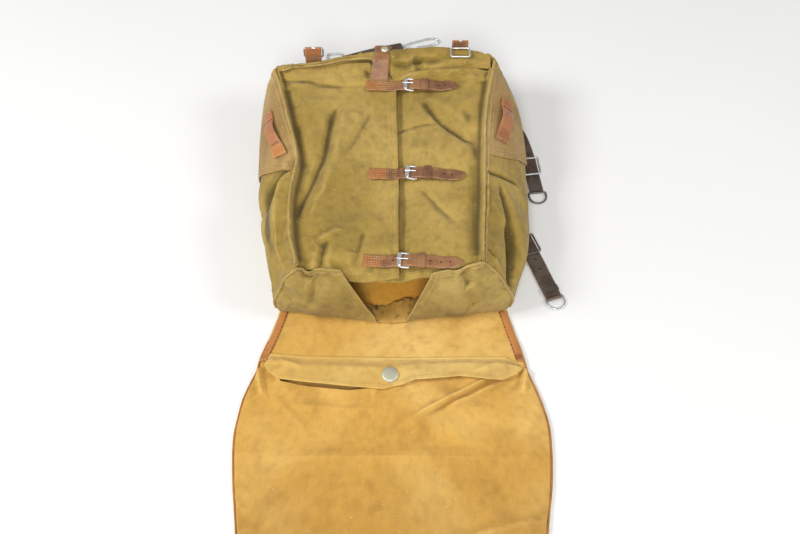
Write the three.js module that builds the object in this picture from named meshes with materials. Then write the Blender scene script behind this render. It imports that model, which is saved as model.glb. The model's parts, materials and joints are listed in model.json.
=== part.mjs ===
// A canvas and leather army rucksack that lies on its back with its lid folded open.
// Millimetres, +Z up. X runs across the bag and +Y towards the bag's bottom seam.
// The lid lies open towards -Y with its lining up, and everything rests on z = 0.
import * as THREE from 'three';

// Driving dimensions
const CANVAS = 2.0;
const LIGHT_CANVAS = 1.4;
const STRAP_LEATHER = 1.8;
const HARNESS_LEATHER = 3.2;
const SEWN_GAP = 0.4;
const BACK_UNDERSIDE = HARNESS_LEATHER + SEWN_GAP;
const BACK_TOP = BACK_UNDERSIDE + CANVAS;
const LID_THICKNESS = HARNESS_LEATHER;
const WALL_FOOT = BACK_TOP + SEWN_GAP;
const BULGE_HEIGHT = 46;
const SEAM_FIRST_Y = 152;
const SEAM_LAST_Y = -146;
const SEAM_ROWS = 16;
const FRONT_DIP = 3.5;
const FRONT_DIP_REACH = 9;
const FRONT_FOLD_HOLD = 16;
const FRONT_SAG = 6;
const HEM_BOW = 6;
const MOUTH_BOW = 18;
const HEM_ROWS = 4;
const FRONT_COLUMNS = 10;
const PANEL_EDGE_X = 5;
const PANEL_EDGE_SLANT = -0.018;
const PANEL_LAP = 22;
const PANEL_AIR = 0.9;
const PANEL_STEP = CANVAS + PANEL_AIR;
const PANEL_STEP_START = 4;
const PANEL_STEP_RUN = 32;
const CLOSURE_WIDTH = 15.5;
const BUCKLE_LENGTH = 20;
const BUCKLE_WIDTH = 24;
const BUCKLE_BAR = 3;
const BUCKLE_THICK = 2.4;
const KEEPER_LENGTH = 9;
const KEEPER_WALL = 1.2;
const CHAPE_THICK = 1.6;
const TAIL_WIDTH = 19;
const RING_WIRE = 3;

// Half width of the back panel from the bag's top (mouth) to its bottom.
const BACK_EDGE = [
  { y: -156, half: 138 },
  { y: -105, half: 146 },
  { y: -45, half: 150 },
  { y: 10, half: 150 },
  { y: 75, half: 150 },
  { y: 130, half: 149 },
  { y: 163, half: 146 },
];

// Cross-sections of the side walls: X of the outward bulge, then X and height of the front seam.
const SIDE_SECTIONS = {
  left: [
    { y: -156, bulge: -139.5, seam: -109.5, rise: 99 },
    { y: -105, bulge: -150.5, seam: -120.5, rise: 96 },
    { y: -45, bulge: -163.5, seam: -123, rise: 94 },
    { y: 10, bulge: -169, seam: -118.5, rise: 94 },
    { y: 75, bulge: -171, seam: -132.5, rise: 95 },
    { y: 130, bulge: -170, seam: -146.5, rise: 96 },
    { y: 163, bulge: -164, seam: -158, rise: 96 },
  ],
  right: [
    { y: -156, bulge: 141, seam: 104.5, rise: 103 },
    { y: -105, bulge: 159, seam: 106.5, rise: 100 },
    { y: -45, bulge: 166.5, seam: 110, rise: 100 },
    { y: 10, bulge: 169, seam: 112.5, rise: 101 },
    { y: 75, bulge: 168, seam: 117, rise: 102 },
    { y: 130, bulge: 164, seam: 125.5, rise: 104 },
    { y: 163, bulge: 153, seam: 132.5, rise: 104 },
  ],
};

// How far the side walls' ends lean at the front seam, against their foot at the back panel.
const SIDE_ENDS = {
  left: { footY: 160, seamY: 155, mouthFootY: -157, mouthSeamY: -155 },
  right: { footY: 160, seamY: 166, mouthFootY: -156, mouthSeamY: -150 },
};

// Places down the side section, from the back panel's edge (0) to the front seam (1).
const SIDE_STEPS = [0, 0.15, 0.3, 0.45, 0.6, 0.72, 0.84, 0.94, 1];

// Rim of the bottom wall, from left to right: outward bow, lift, and width of the rolled band.
const RIM = [
  { share: 0, bow: 0, lift: 0, band: 5 },
  { share: 0.16, bow: 3, lift: 2, band: 6 },
  { share: 0.34, bow: 9, lift: 3, band: 7 },
  { share: 0.47, bow: 13, lift: 4, band: 11 },
  { share: 0.6, bow: 16, lift: 3.5, band: 13 },
  { share: 0.66, bow: 16.5, lift: 3, band: 8 },
  { share: 0.74, bow: 17, lift: 3, band: 15 },
  { share: 0.92, bow: 8.5, lift: 1, band: 15 },
  { share: 1, bow: 0, lift: 0, band: 11 },
];

// Main folds of the front panels: valleys have a negative height.
const FRONT_FOLDS = [
  { fromX: -76, fromY: 95, toX: -108, toY: -70, height: -5, width: 12 },
  { fromX: -58, fromY: 85, toX: -86, toY: -85, height: 2.5, width: 16 },
  { fromX: -104, fromY: -85, toX: -98, toY: -145, height: -3, width: 10 },
  { fromX: -25, fromY: 60, toX: -50, toY: -110, height: -1.5, width: 18 },
  { fromX: 46, fromY: 108, toX: 92, toY: 45, height: -4, width: 11 },
  { fromX: 78, fromY: 112, toX: 104, toY: 60, height: 3, width: 11 },
  { fromX: 88, fromY: -20, toX: 100, toY: -85, height: -3, width: 11 },
  { fromX: 35, fromY: -45, toX: 75, toY: -115, height: 2, width: 18 },
];

// Creases of the side walls, by place along the bag and share of the side section.
const SIDE_CREASES = {
  left: [
    { fromY: 12, fromShare: 1, toY: -38, toShare: 0.5, depth: 5, width: 16 },
    { fromY: -95, fromShare: 0.9, toY: -150, toShare: 0.55, depth: 4, width: 16 },
  ],
  right: [
    { fromY: 25, fromShare: 0.95, toY: -30, toShare: 0.6, depth: 3, width: 18 },
    { fromY: -90, fromShare: 0.9, toY: -146, toShare: 0.6, depth: 4, width: 16 },
  ],
};

const SIDE_LENGTH = 100;
const CREASE_DROP = 0.5;
const CREASE_SEAM_POWER = 8;

// Inner edges of the two top flaps, which leave the V-shaped mouth between them.
const TOP_FLAPS = {
  left: { frontX: -60, frontY: -159, frontZ: 94, hingeX: -19, hingeY: -175, dentShare: 0.26, dent: 9 },
  right: { frontX: 46, frontY: -163, frontZ: 93, hingeX: 18, hingeY: -173, dentShare: 0.5, dent: 6 },
};
const TOP_FLAP_BULGE = 9;
const FLAP_DENT_SPREAD = 0.14;
const FLAP_DENT_POWER = 4;

// Outline of the lid, from the hinge to its rounded end.
const LID_OUTLINE = [
  { y: -149, left: -135, right: 137 },
  { y: -165, left: -138, right: 140.5 },
  { y: -190, left: -145, right: 147 },
  { y: -225, left: -156.5, right: 156 },
  { y: -242, left: -159.5, right: 159 },
  { y: -260, left: -166.5, right: 165.5 },
  { y: -280, left: -173, right: 172 },
  { y: -305, left: -177, right: 178 },
  { y: -330, left: -179.5, right: 180 },
  { y: -380, left: -176, right: 177.5 },
  { y: -440, left: -168, right: 168.5 },
  { y: -500, left: -164, right: 164.5 },
  { y: -550, left: -161, right: 161 },
  { y: -585, left: -151, right: 151 },
  { y: -608, left: -133, right: 133 },
  { y: -620, left: -108, right: 108 },
];
const LID_COLUMNS = 16;
const BINDING_WIDTH = 10;
const BINDING_THICK = 1.4;
const BINDING_FROM_Y = -167;
const BINDING_TO_Y = -220;

// Pocket on the lid's lining, with the folds that stand up in its cloth.
const POCKET_MOUTH_Y = -239;
const POCKET_INSET = 2;
const POCKET_PUFF = 3.2;
const POCKET_PUFF_REACH = 75;
const POCKET_ROW_POWER = 1.35;
const POCKET_EDGE_POWER = 0.6;
const POCKET_END_POWER = 6;
const POCKET_FOLDS = [
  { fromX: 34, fromY: -296, toX: 108, toY: -254, height: 4.5, width: 11 },
  { fromX: 62, fromY: -318, toX: 140, toY: -275, height: 2.5, width: 14 },
  { fromX: 95, fromY: -420, toX: 160, toY: -330, height: 3, width: 20 },
  { fromX: -130, fromY: -300, toX: -60, toY: -275, height: 1.6, width: 20 },
  { fromX: -150, fromY: -470, toX: -90, toY: -380, height: 1.8, width: 22 },
];

// Pocket flap: its sewn edge and its free edge from left to right.
const POCKET_FLAP = [
  { x: -157, sewnY: -233, freeY: -237 },
  { x: -146, sewnY: -224, freeY: -248 },
  { x: -100, sewnY: -226, freeY: -252 },
  { x: -45, sewnY: -227, freeY: -257 },
  { x: 0, sewnY: -228, freeY: -262 },
  { x: 45, sewnY: -227, freeY: -254 },
  { x: 100, sewnY: -226, freeY: -251 },
  { x: 139, sewnY: -225, freeY: -252 },
  { x: 156, sewnY: -233, freeY: -238 },
];
const FLAP_STEPS = [0, 0.2, 0.36, 0.52, 0.76, 1];
const FLAP_REST = { reachX: 8, reachY: 6 };
const BUTTON = { x: -2.6, y: -251, radius: 10.5, height: 4.2, sides: 16 };

// The three closure straps: place of the buckle, and the strap's ends left and right of it.
const CLOSURES = [
  { name: 'upper', buckleX: 23, buckleY: 129, startX: -34, tipX: 84, keeperX: 41 },
  { name: 'middle', buckleX: 25, buckleY: -14.5, startX: -29, tipX: 89, keeperX: 43 },
  { name: 'lower', buckleX: 15, buckleY: -146, startX: -34, tipX: 82, keeperX: 34 },
];
const CLOSURE_SLOPE = -0.07;
const CLOSURE_STACK = CHAPE_THICK + SEWN_GAP + KEEPER_WALL + SEWN_GAP;

// Leather loops on the side patches, by place along the bag and share of the side section.
const SIDE_LOOPS = {
  left: { fromY: 97, toY: 21, fromShare: 0.79, toShare: 0.87 },
  right: { fromY: 118, toY: 44, fromShare: 0.85, toShare: 0.83 },
};
const LOOP_SHARE = 0.13;
const LOOP_BOW = 8;
const LOOP_LEATHER = 2.2;
const LOOP_SEWN_END = 0.16;
const PATCH_ROWS = 8;
const PATCH_FROM_STEP = 2;
const PATCH_TO_STEP = 7;
const LOOP_ROWS = 12;
const LOOP_COLUMNS = 2;

// Harness: the routes of the flat straps on the surface, each point an X and a Y.
const HARNESS = [
  {
    name: 'shoulder_strap_left',
    width: 34,
    endWidth: 20,
    route: [[-48, -138], [-62, 20], [-76, 170], [-83, 254]],
  },
  { name: 'shoulder_strap_right', width: 34, endWidth: 24, route: [[48, -138], [66, 0], [88, 88]] },
  { name: 'hook_strap', width: 18, endWidth: 18, route: [[-69, 264.3], [-28, 279], [12, 290]] },
  { name: 'upper_tail', width: 17, endWidth: 17, route: [[152, 158], [170, 128], [181, 84], [185, 54]] },
  { name: 'lower_tail', width: 19, endWidth: 19, route: [[124, 66], [148, 0], [170.5, -58], [198, -136]] },
];
const STRAP_TAPER = 1.4;
const ROUTE_STEPS = 9;

const group = new THREE.Group();

function addPiece(name, geometry, finish) {
  const mesh = new THREE.Mesh(geometry, new THREE.MeshStandardMaterial(finish));
  mesh.name = name;
  group.add(mesh);
  mesh.updateMatrixWorld(true);
  return mesh;
}

const OLIVE = { color: 0xb0944f, roughness: 0.95, metalness: 0 };
const PATCH_CLOTH = { color: 0xa5875a, roughness: 0.95, metalness: 0 };
const LINING = { color: 0xdcae60, roughness: 0.95, metalness: 0 };
const INNER_CLOTH = { color: 0x967840, roughness: 0.95, metalness: 0 };
const BROWN_LEATHER = { color: 0x82503c, roughness: 0.6, metalness: 0 };
const TAN_LEATHER = { color: 0xb96e3c, roughness: 0.6, metalness: 0 };
const DARK_LEATHER = { color: 0x50463c, roughness: 0.6, metalness: 0 };
const STEEL = { color: 0xc8cdd2, roughness: 0.35, metalness: 1 };
const ZINC = { color: 0xb4b9a5, roughness: 0.45, metalness: 0.9 };

// Smooth curve through one column of a table, by cubic Hermite pieces.
function smoothColumn(table, key, column) {
  const rows = [...table].sort((a, b) => a[key] - b[key]);
  const last = rows.length - 1;
  const slope = (index) => {
    const before = rows[Math.max(index - 1, 0)];
    const after = rows[Math.min(index + 1, last)];
    return (after[column] - before[column]) / (after[key] - before[key]);
  };
  return (place) => {
    let index = 0;
    while (index < last - 1 && place > rows[index + 1][key]) index += 1;
    const from = rows[index];
    const to = rows[index + 1];
    const span = to[key] - from[key];
    const t = THREE.MathUtils.clamp((place - from[key]) / span, 0, 1);
    const rise = from[column] * (1 - t) * (1 - t) * (1 + 2 * t) + to[column] * t * t * (3 - 2 * t);
    const bend = span * (slope(index) * t * (1 - t) * (1 - t) - slope(index + 1) * t * t * (1 - t));
    return rise + bend;
  };
}

// Height that a table of folds adds at a place: each fold is a soft ridge or valley on a line.
function foldHeight(folds, x, y) {
  let total = 0;
  for (const fold of folds) {
    const runX = fold.toX - fold.fromX;
    const runY = fold.toY - fold.fromY;
    const share = ((x - fold.fromX) * runX + (y - fold.fromY) * runY) / (runX * runX + runY * runY);
    const held = THREE.MathUtils.clamp(share, 0, 1);
    const away = Math.hypot(x - fold.fromX - held * runX, y - fold.fromY - held * runY);
    total += fold.height * Math.exp(-((away / fold.width) ** 2));
  }
  return total;
}

// A cloth or leather wall: a grid of points on one face, and the same grid a thickness behind it.
function wall(columns, rows, place, thickness) {
  const across = columns + 1;
  const face = [];
  for (let j = 0; j <= rows; j += 1) {
    for (let i = 0; i <= columns; i += 1) face.push(place(i, j));
  }
  const at = (i, j) => {
    const row = THREE.MathUtils.clamp(j, 0, rows);
    return face[row * across + THREE.MathUtils.clamp(i, 0, columns)];
  };
  const behind = face.map((point, index) => {
    const i = index % across;
    const j = Math.floor(index / across);
    const alongRow = at(i + 1, j).clone().sub(at(i - 1, j));
    const alongColumn = at(i, j + 1).clone().sub(at(i, j - 1));
    return point.clone().addScaledVector(alongRow.cross(alongColumn).normalize(), -thickness);
  });
  const points = [...face, ...behind];
  const triangles = [];
  const quad = (a, b, c, d) => triangles.push(a, b, c, a, c, d);
  const offset = face.length;
  for (let j = 0; j < rows; j += 1) {
    for (let i = 0; i < columns; i += 1) {
      const a = j * across + i;
      quad(a, a + 1, a + across + 1, a + across);
      quad(offset + a, offset + a + across, offset + a + across + 1, offset + a + 1);
    }
  }
  const border = [];
  for (let i = 0; i < columns; i += 1) border.push(i);
  for (let j = 0; j < rows; j += 1) border.push(j * across + columns);
  for (let i = columns; i > 0; i -= 1) border.push(rows * across + i);
  for (let j = rows; j > 0; j -= 1) border.push(j * across);
  border.forEach((a, index) => {
    const b = border[(index + 1) % border.length];
    quad(a, offset + a, offset + b, b);
  });
  return closedGeometry(points, triangles);
}

// Geometry from shared points, with the faces turned outwards by the sign of the volume.
function closedGeometry(points, triangles) {
  let volume = 0;
  for (let k = 0; k < triangles.length; k += 3) {
    const [a, b, c] = [points[triangles[k]], points[triangles[k + 1]], points[triangles[k + 2]]];
    volume += a.dot(b.clone().cross(c));
  }
  if (volume < 0) {
    for (let k = 0; k < triangles.length; k += 3) {
      [triangles[k + 1], triangles[k + 2]] = [triangles[k + 2], triangles[k + 1]];
    }
  }
  const geometry = new THREE.BufferGeometry().setFromPoints(points);
  geometry.setIndex(triangles);
  geometry.computeVertexNormals();
  return geometry;
}

// A flat strip along a route on its underside, with a width at each point of the route.
function strip(route, widths, thickness) {
  const last = route.length - 1;
  const place = (i, j) => {
    const heading = route[Math.min(j + 1, last)].clone().sub(route[Math.max(j - 1, 0)]).setZ(0);
    const sideways = new THREE.Vector3(heading.y, -heading.x, 0).normalize();
    return route[j].clone().addScaledVector(sideways, (0.5 - i) * widths[j]);
  };
  return wall(1, last, place, thickness);
}

// First surface of the given pieces that a straight line meets.
const caster = new THREE.Raycaster();
function surfaceAlong(pieces, from, direction) {
  caster.set(from, direction);
  const hits = caster.intersectObjects(pieces, false);
  return hits.length > 0 ? hits[0].point : null;
}

const SKY = 400;
const DOWN = new THREE.Vector3(0, 0, -1);

const SPREAD = [-1, -0.5, 0, 0.5, 1];

// Highest point of the given pieces within a small rectangle around a place.
function highestAround(pieces, x, y, reachX, reachY) {
  let highest = 0;
  for (const stepX of SPREAD) {
    for (const stepY of SPREAD) {
      const from = new THREE.Vector3(x + stepX * reachX, y + stepY * reachY, SKY);
      const hit = surfaceAlong(pieces, from, DOWN);
      if (hit) highest = Math.max(highest, hit.z);
    }
  }
  return highest;
}

// Bag: sides, back, bottom, front and top

const backHalf = smoothColumn(BACK_EDGE, 'y', 'half');
const section = {};
for (const [side, table] of Object.entries(SIDE_SECTIONS)) {
  section[side] = {};
  for (const column of ['bulge', 'seam', 'rise']) section[side][column] = smoothColumn(table, 'y', column);
}

// Point on a side wall's outer face, by share from the back panel (0) to the front seam (1):
// a parabola through the foot, the bulge and the seam, less the creases.
function sideFace(side, y, share) {
  const turn = side === 'left' ? -1 : 1;
  const foot = new THREE.Vector2(turn * backHalf(y), WALL_FOOT);
  const bulge = new THREE.Vector2(section[side].bulge(y), BULGE_HEIGHT);
  const seam = new THREE.Vector2(section[side].seam(y), section[side].rise(y));
  const arc = foot.multiplyScalar(2 * (share - 0.5) * (share - 1));
  arc.addScaledVector(bulge, 4 * share * (1 - share));
  arc.addScaledVector(seam, 2 * share * (share - 0.5));
  let inset = 0;
  for (const crease of SIDE_CREASES[side]) {
    const runY = crease.toY - crease.fromY;
    const runShare = (crease.toShare - crease.fromShare) * SIDE_LENGTH;
    const awayY = y - crease.fromY;
    const awayShare = (share - crease.fromShare) * SIDE_LENGTH;
    const part = (awayY * runY + awayShare * runShare) / (runY * runY + runShare * runShare);
    const held = THREE.MathUtils.clamp(part, 0, 1);
    const away = Math.hypot(awayY - held * runY, awayShare - held * runShare);
    inset += crease.depth * Math.exp(-((away / crease.width) ** 2));
  }
  const fade = Math.sin(Math.PI * Math.min(share, 0.5)) * (1 - share ** CREASE_SEAM_POWER);
  return new THREE.Vector3(arc.x - turn * inset * fade, y, arc.y - CREASE_DROP * inset * fade);
}

// Rows along the bag: the side wall has the front panels' rows and one more at each end.
function seamRowY(row) {
  return THREE.MathUtils.lerp(SEAM_FIRST_Y, SEAM_LAST_Y, row / SEAM_ROWS);
}

function sideRowY(side, row, share) {
  const ends = SIDE_ENDS[side];
  if (row === 0) return THREE.MathUtils.lerp(ends.footY, ends.seamY, share);
  if (row === SEAM_ROWS + 2) return THREE.MathUtils.lerp(ends.mouthFootY, ends.mouthSeamY, share);
  return seamRowY(row - 1);
}

function sideGrid(side, step, row) {
  const share = SIDE_STEPS[step];
  return sideFace(side, sideRowY(side, row, share), share);
}

const SIDES = ['left', 'right'];
const inwards = { left: 1, right: -1 };
const sideLast = SIDE_STEPS.length - 1;
const sideRows = SEAM_ROWS + 2;
const sideWalls = {};
for (const side of SIDES) {
  const place = (step, row) => sideGrid(side, step, row);
  const geometry = wall(sideLast, sideRows, place, -inwards[side] * CANVAS);
  sideWalls[side] = addPiece(`side_panel_${side}`, geometry, OLIVE);
}

// Inner corner of a side wall's front edge, which the front panel is sewn to.
function seamCorner(side, row) {
  const across = sideLast + 1;
  const index = across * (sideRows + 1) + (row + 1) * across + sideLast;
  return new THREE.Vector3().fromBufferAttribute(sideWalls[side].geometry.attributes.position, index);
}

// The back lies under the feet of all the walls, and its mouth end bows out with the top flaps.
const BACK_GRID = 8;
const BACK_BOTTOM_Y = 164;
const BACK_MOUTH_Y = -161;
const BACK_MOUTH_BOW = 14;
const BACK_BOW_SPREAD = 1.15;
function backPoint(column, row) {
  const across = (2 * column) / BACK_GRID - 1;
  const mouthY = BACK_MOUTH_Y - BACK_MOUTH_BOW * Math.min(BACK_BOW_SPREAD * (1 - Math.abs(across)), 1);
  const y = THREE.MathUtils.lerp(BACK_BOTTOM_Y, mouthY, row / BACK_GRID);
  return new THREE.Vector3(across * (backHalf(y) + SEWN_GAP), y, BACK_TOP);
}
addPiece('back_panel', wall(BACK_GRID, BACK_GRID, backPoint, -CANVAS), INNER_CLOTH);

// The bottom wall spans the side walls' ends, bows outwards, and rolls inwards at its rim.
const RIM_COLUMNS = 18;
const BOTTOM_STEPS = [0, 2, 4, 6, 8];
const ROLL_INSET = 0.022;
const ROLL_FULL_BAND = 12;
const END_OFFSET = CANVAS + 2 * SEWN_GAP;
const rim = {};
for (const column of ['bow', 'lift', 'band']) rim[column] = smoothColumn(RIM, 'share', column);
const RIM_ROLL = [
  { in: 0.5, over: 2.6, bandIn: 0, bandDown: 0 },
  { in: 3.5, over: 4.2, bandIn: 0, bandDown: 0 },
  { in: 5, over: 3.6, bandIn: 0.5, bandDown: 1 },
  { in: 5, over: 2.5, bandIn: 1, bandDown: 5 },
];
function bottomPoint(column, row) {
  const top = BOTTOM_STEPS.length - 1;
  const inset = row > top ? ROLL_INSET : 0;
  const share = THREE.MathUtils.lerp(inset, 1 - inset, column / RIM_COLUMNS);
  const step = BOTTOM_STEPS[Math.min(row, top)];
  const height = SIDE_STEPS[step];
  const point = sideGrid('left', step, 0).lerp(sideGrid('right', step, 0), share);
  point.y += END_OFFSET + rim.bow(share) * height;
  point.z += rim.lift(share) * height;
  if (row > top) {
    const roll = RIM_ROLL[row - top - 1];
    point.y -= roll.in + roll.bandIn * rim.band(share);
    point.z += roll.over - roll.bandDown * Math.min(rim.band(share) / ROLL_FULL_BAND, 1);
  }
  return point;
}
const bottomRows = BOTTOM_STEPS.length - 1 + RIM_ROLL.length;
const bottomWall = addPiece('bottom_panel', wall(RIM_COLUMNS, bottomRows, bottomPoint, -CANVAS), OLIVE);

// The two front panels share one sagging surface, and the left one laps over the right one.
function hemShift(row, share) {
  const bow = Math.sin(Math.PI * share);
  const atBottom = Math.max(0, 1 - row / HEM_ROWS);
  const atMouth = Math.max(0, 1 - (SEAM_ROWS - row) / HEM_ROWS);
  return HEM_BOW * bow * atBottom - MOUTH_BOW * bow * bow * atMouth;
}

function lapEdge(y) {
  return PANEL_EDGE_X + PANEL_EDGE_SLANT * y;
}

function frontPoint(x, row, stepDown) {
  const left = seamCorner('left', row);
  const right = seamCorner('right', row);
  const share = THREE.MathUtils.clamp((x - left.x) / (right.x - left.x), 0, 1);
  const y = seamRowY(row) + hemShift(row, share);
  const fromSeam = Math.min(x - left.x, right.x - x);
  const sag = FRONT_DIP * (1 - Math.exp(-fromSeam / FRONT_DIP_REACH)) + FRONT_SAG * Math.sin(Math.PI * share);
  const fold = foldHeight(FRONT_FOLDS, x, y) * THREE.MathUtils.smoothstep(fromSeam, 0, FRONT_FOLD_HOLD);
  const z = THREE.MathUtils.lerp(left.z, right.z, share) - sag + fold;
  const run = THREE.MathUtils.smoothstep(x - lapEdge(y), PANEL_STEP_START, PANEL_STEP_RUN);
  return new THREE.Vector3(x, y, z - stepDown * (1 - run));
}

const frontPanels = SIDES.map((side) => {
  const place = (column, row) => {
    const seam = seamCorner(side, row).x + inwards[side] * SEWN_GAP;
    const edge = lapEdge(seamRowY(row)) - (side === 'right' ? PANEL_LAP : 0);
    const x = THREE.MathUtils.lerp(seam, edge, column / FRONT_COLUMNS);
    return frontPoint(x, row, side === 'right' ? PANEL_STEP : 0);
  };
  const geometry = wall(FRONT_COLUMNS, SEAM_ROWS, place, -inwards[side] * CANVAS);
  return addPiece(`front_panel_${side}`, geometry, OLIVE);
});

// The top flaps close the mouth from both sides and leave a V between their slanted edges.
const TOP_COLUMNS = 9;
for (const side of SIDES) {
  const flap = TOP_FLAPS[side];
  const place = (column, row) => {
    const step = sideLast - row;
    const height = SIDE_STEPS[step];
    const share = column / TOP_COLUMNS;
    const hinge = new THREE.Vector3(flap.hingeX, flap.hingeY, WALL_FOOT + SEWN_GAP);
    const front = new THREE.Vector3(flap.frontX, flap.frontY, flap.frontZ);
    const seam = sideGrid(side, step, sideRows);
    seam.y -= END_OFFSET;
    const point = seam.lerp(hinge.lerp(front, height), share);
    point.y -= TOP_FLAP_BULGE * Math.sin(Math.PI * share) * Math.sin(Math.PI * height);
    const dent = Math.exp(-(((share - flap.dentShare) / FLAP_DENT_SPREAD) ** 2));
    point.z -= flap.dent * dent * height ** FLAP_DENT_POWER;
    return point;
  };
  addPiece(`top_flap_${side}`, wall(TOP_COLUMNS, sideLast, place, -inwards[side] * CANVAS), OLIVE);
}

// Worn facing strip that lies on the back inside the mouth, with an uneven inner edge.
const FACING = { left: -44, right: 48, mouthY: -166, innerY: -136, columns: 10, rows: 3 };
const FACING_WAVES = [{ height: 3, rate: 2.1 }, { height: 4, rate: 0.9 }];
const FACING_CURL = { height: 3, base: 1.2, rate: 1.3 };
function facingPoint(column, row) {
  const x = THREE.MathUtils.lerp(FACING.left, FACING.right, column / FACING.columns);
  let ragged = 0;
  for (const { height, rate } of FACING_WAVES) ragged += height * Math.sin(column * rate);
  const share = row / FACING.rows;
  const y = THREE.MathUtils.lerp(FACING.mouthY, FACING.innerY + ragged, share);
  const wave = FACING_CURL.base + Math.sin(column * FACING_CURL.rate);
  const curl = FACING_CURL.height * share * share * wave;
  return new THREE.Vector3(x, y, BACK_TOP + SEWN_GAP + LIGHT_CANVAS + curl);
}
addPiece('mouth_facing', wall(FACING.columns, FACING.rows, facingPoint, LIGHT_CANVAS), INNER_CLOTH);

// Heavier patches and leather loops on the side walls

function sideNormal(side, y, share) {
  const stepY = 1;
  const stepShare = 0.01;
  const alongBag = sideFace(side, y + stepY, share).sub(sideFace(side, y - stepY, share));
  const upSection = sideFace(side, y, share + stepShare).sub(sideFace(side, y, share - stepShare));
  return upSection.cross(alongBag).multiplyScalar(inwards[side]).normalize();
}

const PATCH = {
  left: { topY: 150, lowEndY: 20, seamEndY: -2 },
  right: { topY: 156, lowEndY: 48, seamEndY: 12 },
};
const PATCH_FACE = 2 * SEWN_GAP + LIGHT_CANVAS;
for (const side of SIDES) {
  const patch = PATCH[side];
  const patchPlace = (column, row) => {
    const share = SIDE_STEPS[PATCH_FROM_STEP + column];
    const width = column / (PATCH_TO_STEP - PATCH_FROM_STEP);
    const endY = THREE.MathUtils.lerp(patch.lowEndY, patch.seamEndY, width);
    const y = THREE.MathUtils.lerp(patch.topY, endY, row / PATCH_ROWS);
    return sideFace(side, y, share).addScaledVector(sideNormal(side, y, share), PATCH_FACE);
  };
  const patchColumns = PATCH_TO_STEP - PATCH_FROM_STEP;
  const patchWall = wall(patchColumns, PATCH_ROWS, patchPlace, -inwards[side] * LIGHT_CANVAS);
  addPiece(`side_patch_${side}`, patchWall, PATCH_CLOTH);

  const loop = SIDE_LOOPS[side];
  const loopPlace = (column, row) => {
    const along = row / LOOP_ROWS;
    const y = THREE.MathUtils.lerp(loop.fromY, loop.toY, along);
    const centre = THREE.MathUtils.lerp(loop.fromShare, loop.toShare, along);
    const share = centre + (column / LOOP_COLUMNS - 0.5) * LOOP_SHARE;
    const free = THREE.MathUtils.clamp((along - LOOP_SEWN_END) / (1 - 2 * LOOP_SEWN_END), 0, 1);
    const bow = LOOP_BOW * Math.sin(Math.PI * free);
    const face = PATCH_FACE + SEWN_GAP + LOOP_LEATHER + bow;
    return sideFace(side, y, share).addScaledVector(sideNormal(side, y, centre), face);
  };
  const loopWall = wall(LOOP_COLUMNS, LOOP_ROWS, loopPlace, -inwards[side] * LOOP_LEATHER);
  addPiece(`side_loop_${side}`, loopWall, TAN_LEATHER);
}

// Lid, its leather binding, and the pocket on its lining

const lidLeft = smoothColumn(LID_OUTLINE, 'y', 'left');
const lidRight = smoothColumn(LID_OUTLINE, 'y', 'right');
const lidRows = LID_OUTLINE.length - 1;
function lidPoint(column, row) {
  const { y, left, right } = LID_OUTLINE[row];
  return new THREE.Vector3(THREE.MathUtils.lerp(left, right, column / LID_COLUMNS), y, LID_THICKNESS);
}
const lid = addPiece('lid', wall(LID_COLUMNS, lidRows, lidPoint, -LID_THICKNESS), LINING);

const BINDING_ROWS = 4;
for (const side of SIDES) {
  const edge = side === 'left' ? lidLeft : lidRight;
  const place = (column, row) => {
    const y = THREE.MathUtils.lerp(BINDING_FROM_Y, BINDING_TO_Y, row / BINDING_ROWS);
    const x = edge(y) + inwards[side] * column * BINDING_WIDTH;
    return new THREE.Vector3(x, y, LID_THICKNESS + SEWN_GAP + BINDING_THICK);
  };
  const geometry = wall(1, BINDING_ROWS, place, -inwards[side] * BINDING_THICK);
  addPiece(`lid_binding_${side}`, geometry, TAN_LEATHER);
}

const POCKET_COLUMNS = 16;
const POCKET_ROWS = 16;
const POCKET_END_Y = -617;
function pocketPoint(column, row) {
  const down = (row / POCKET_ROWS) ** POCKET_ROW_POWER;
  const y = THREE.MathUtils.lerp(POCKET_MOUTH_Y, POCKET_END_Y, down);
  const across = column / POCKET_COLUMNS;
  const left = lidLeft(y) + POCKET_INSET;
  const x = THREE.MathUtils.lerp(left, lidRight(y) - POCKET_INSET, across);
  const hold = Math.sin(Math.PI * across) ** POCKET_EDGE_POWER;
  const puff = POCKET_PUFF * Math.exp((y - POCKET_MOUTH_Y) / POCKET_PUFF_REACH);
  const fold = foldHeight(POCKET_FOLDS, x, y) * (1 - down ** POCKET_END_POWER);
  const z = LID_THICKNESS + SEWN_GAP + LIGHT_CANVAS + hold * (puff + fold);
  return new THREE.Vector3(x, y, z);
}
const pocketWall = wall(POCKET_COLUMNS, POCKET_ROWS, pocketPoint, -LIGHT_CANVAS);
const pocket = addPiece('lid_pocket', pocketWall, LINING);

const FLAP_COLUMNS = 24;
const flapSewn = smoothColumn(POCKET_FLAP, 'x', 'sewnY');
const flapFree = smoothColumn(POCKET_FLAP, 'x', 'freeY');
function pocketFlapPoint(column, row) {
  const firstX = POCKET_FLAP[0].x;
  const lastX = POCKET_FLAP[POCKET_FLAP.length - 1].x;
  const x = THREE.MathUtils.lerp(firstX, lastX, column / FLAP_COLUMNS);
  const y = THREE.MathUtils.lerp(flapSewn(x), flapFree(x), FLAP_STEPS[row]);
  const under = highestAround([lid, pocket], x, y, FLAP_REST.reachX, FLAP_REST.reachY);
  return new THREE.Vector3(x, y, under + 2 * SEWN_GAP + LIGHT_CANVAS);
}
const flapWall = wall(FLAP_COLUMNS, FLAP_STEPS.length - 1, pocketFlapPoint, -LIGHT_CANVAS);
const pocketFlap = addPiece('pocket_flap', flapWall, LINING);

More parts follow.
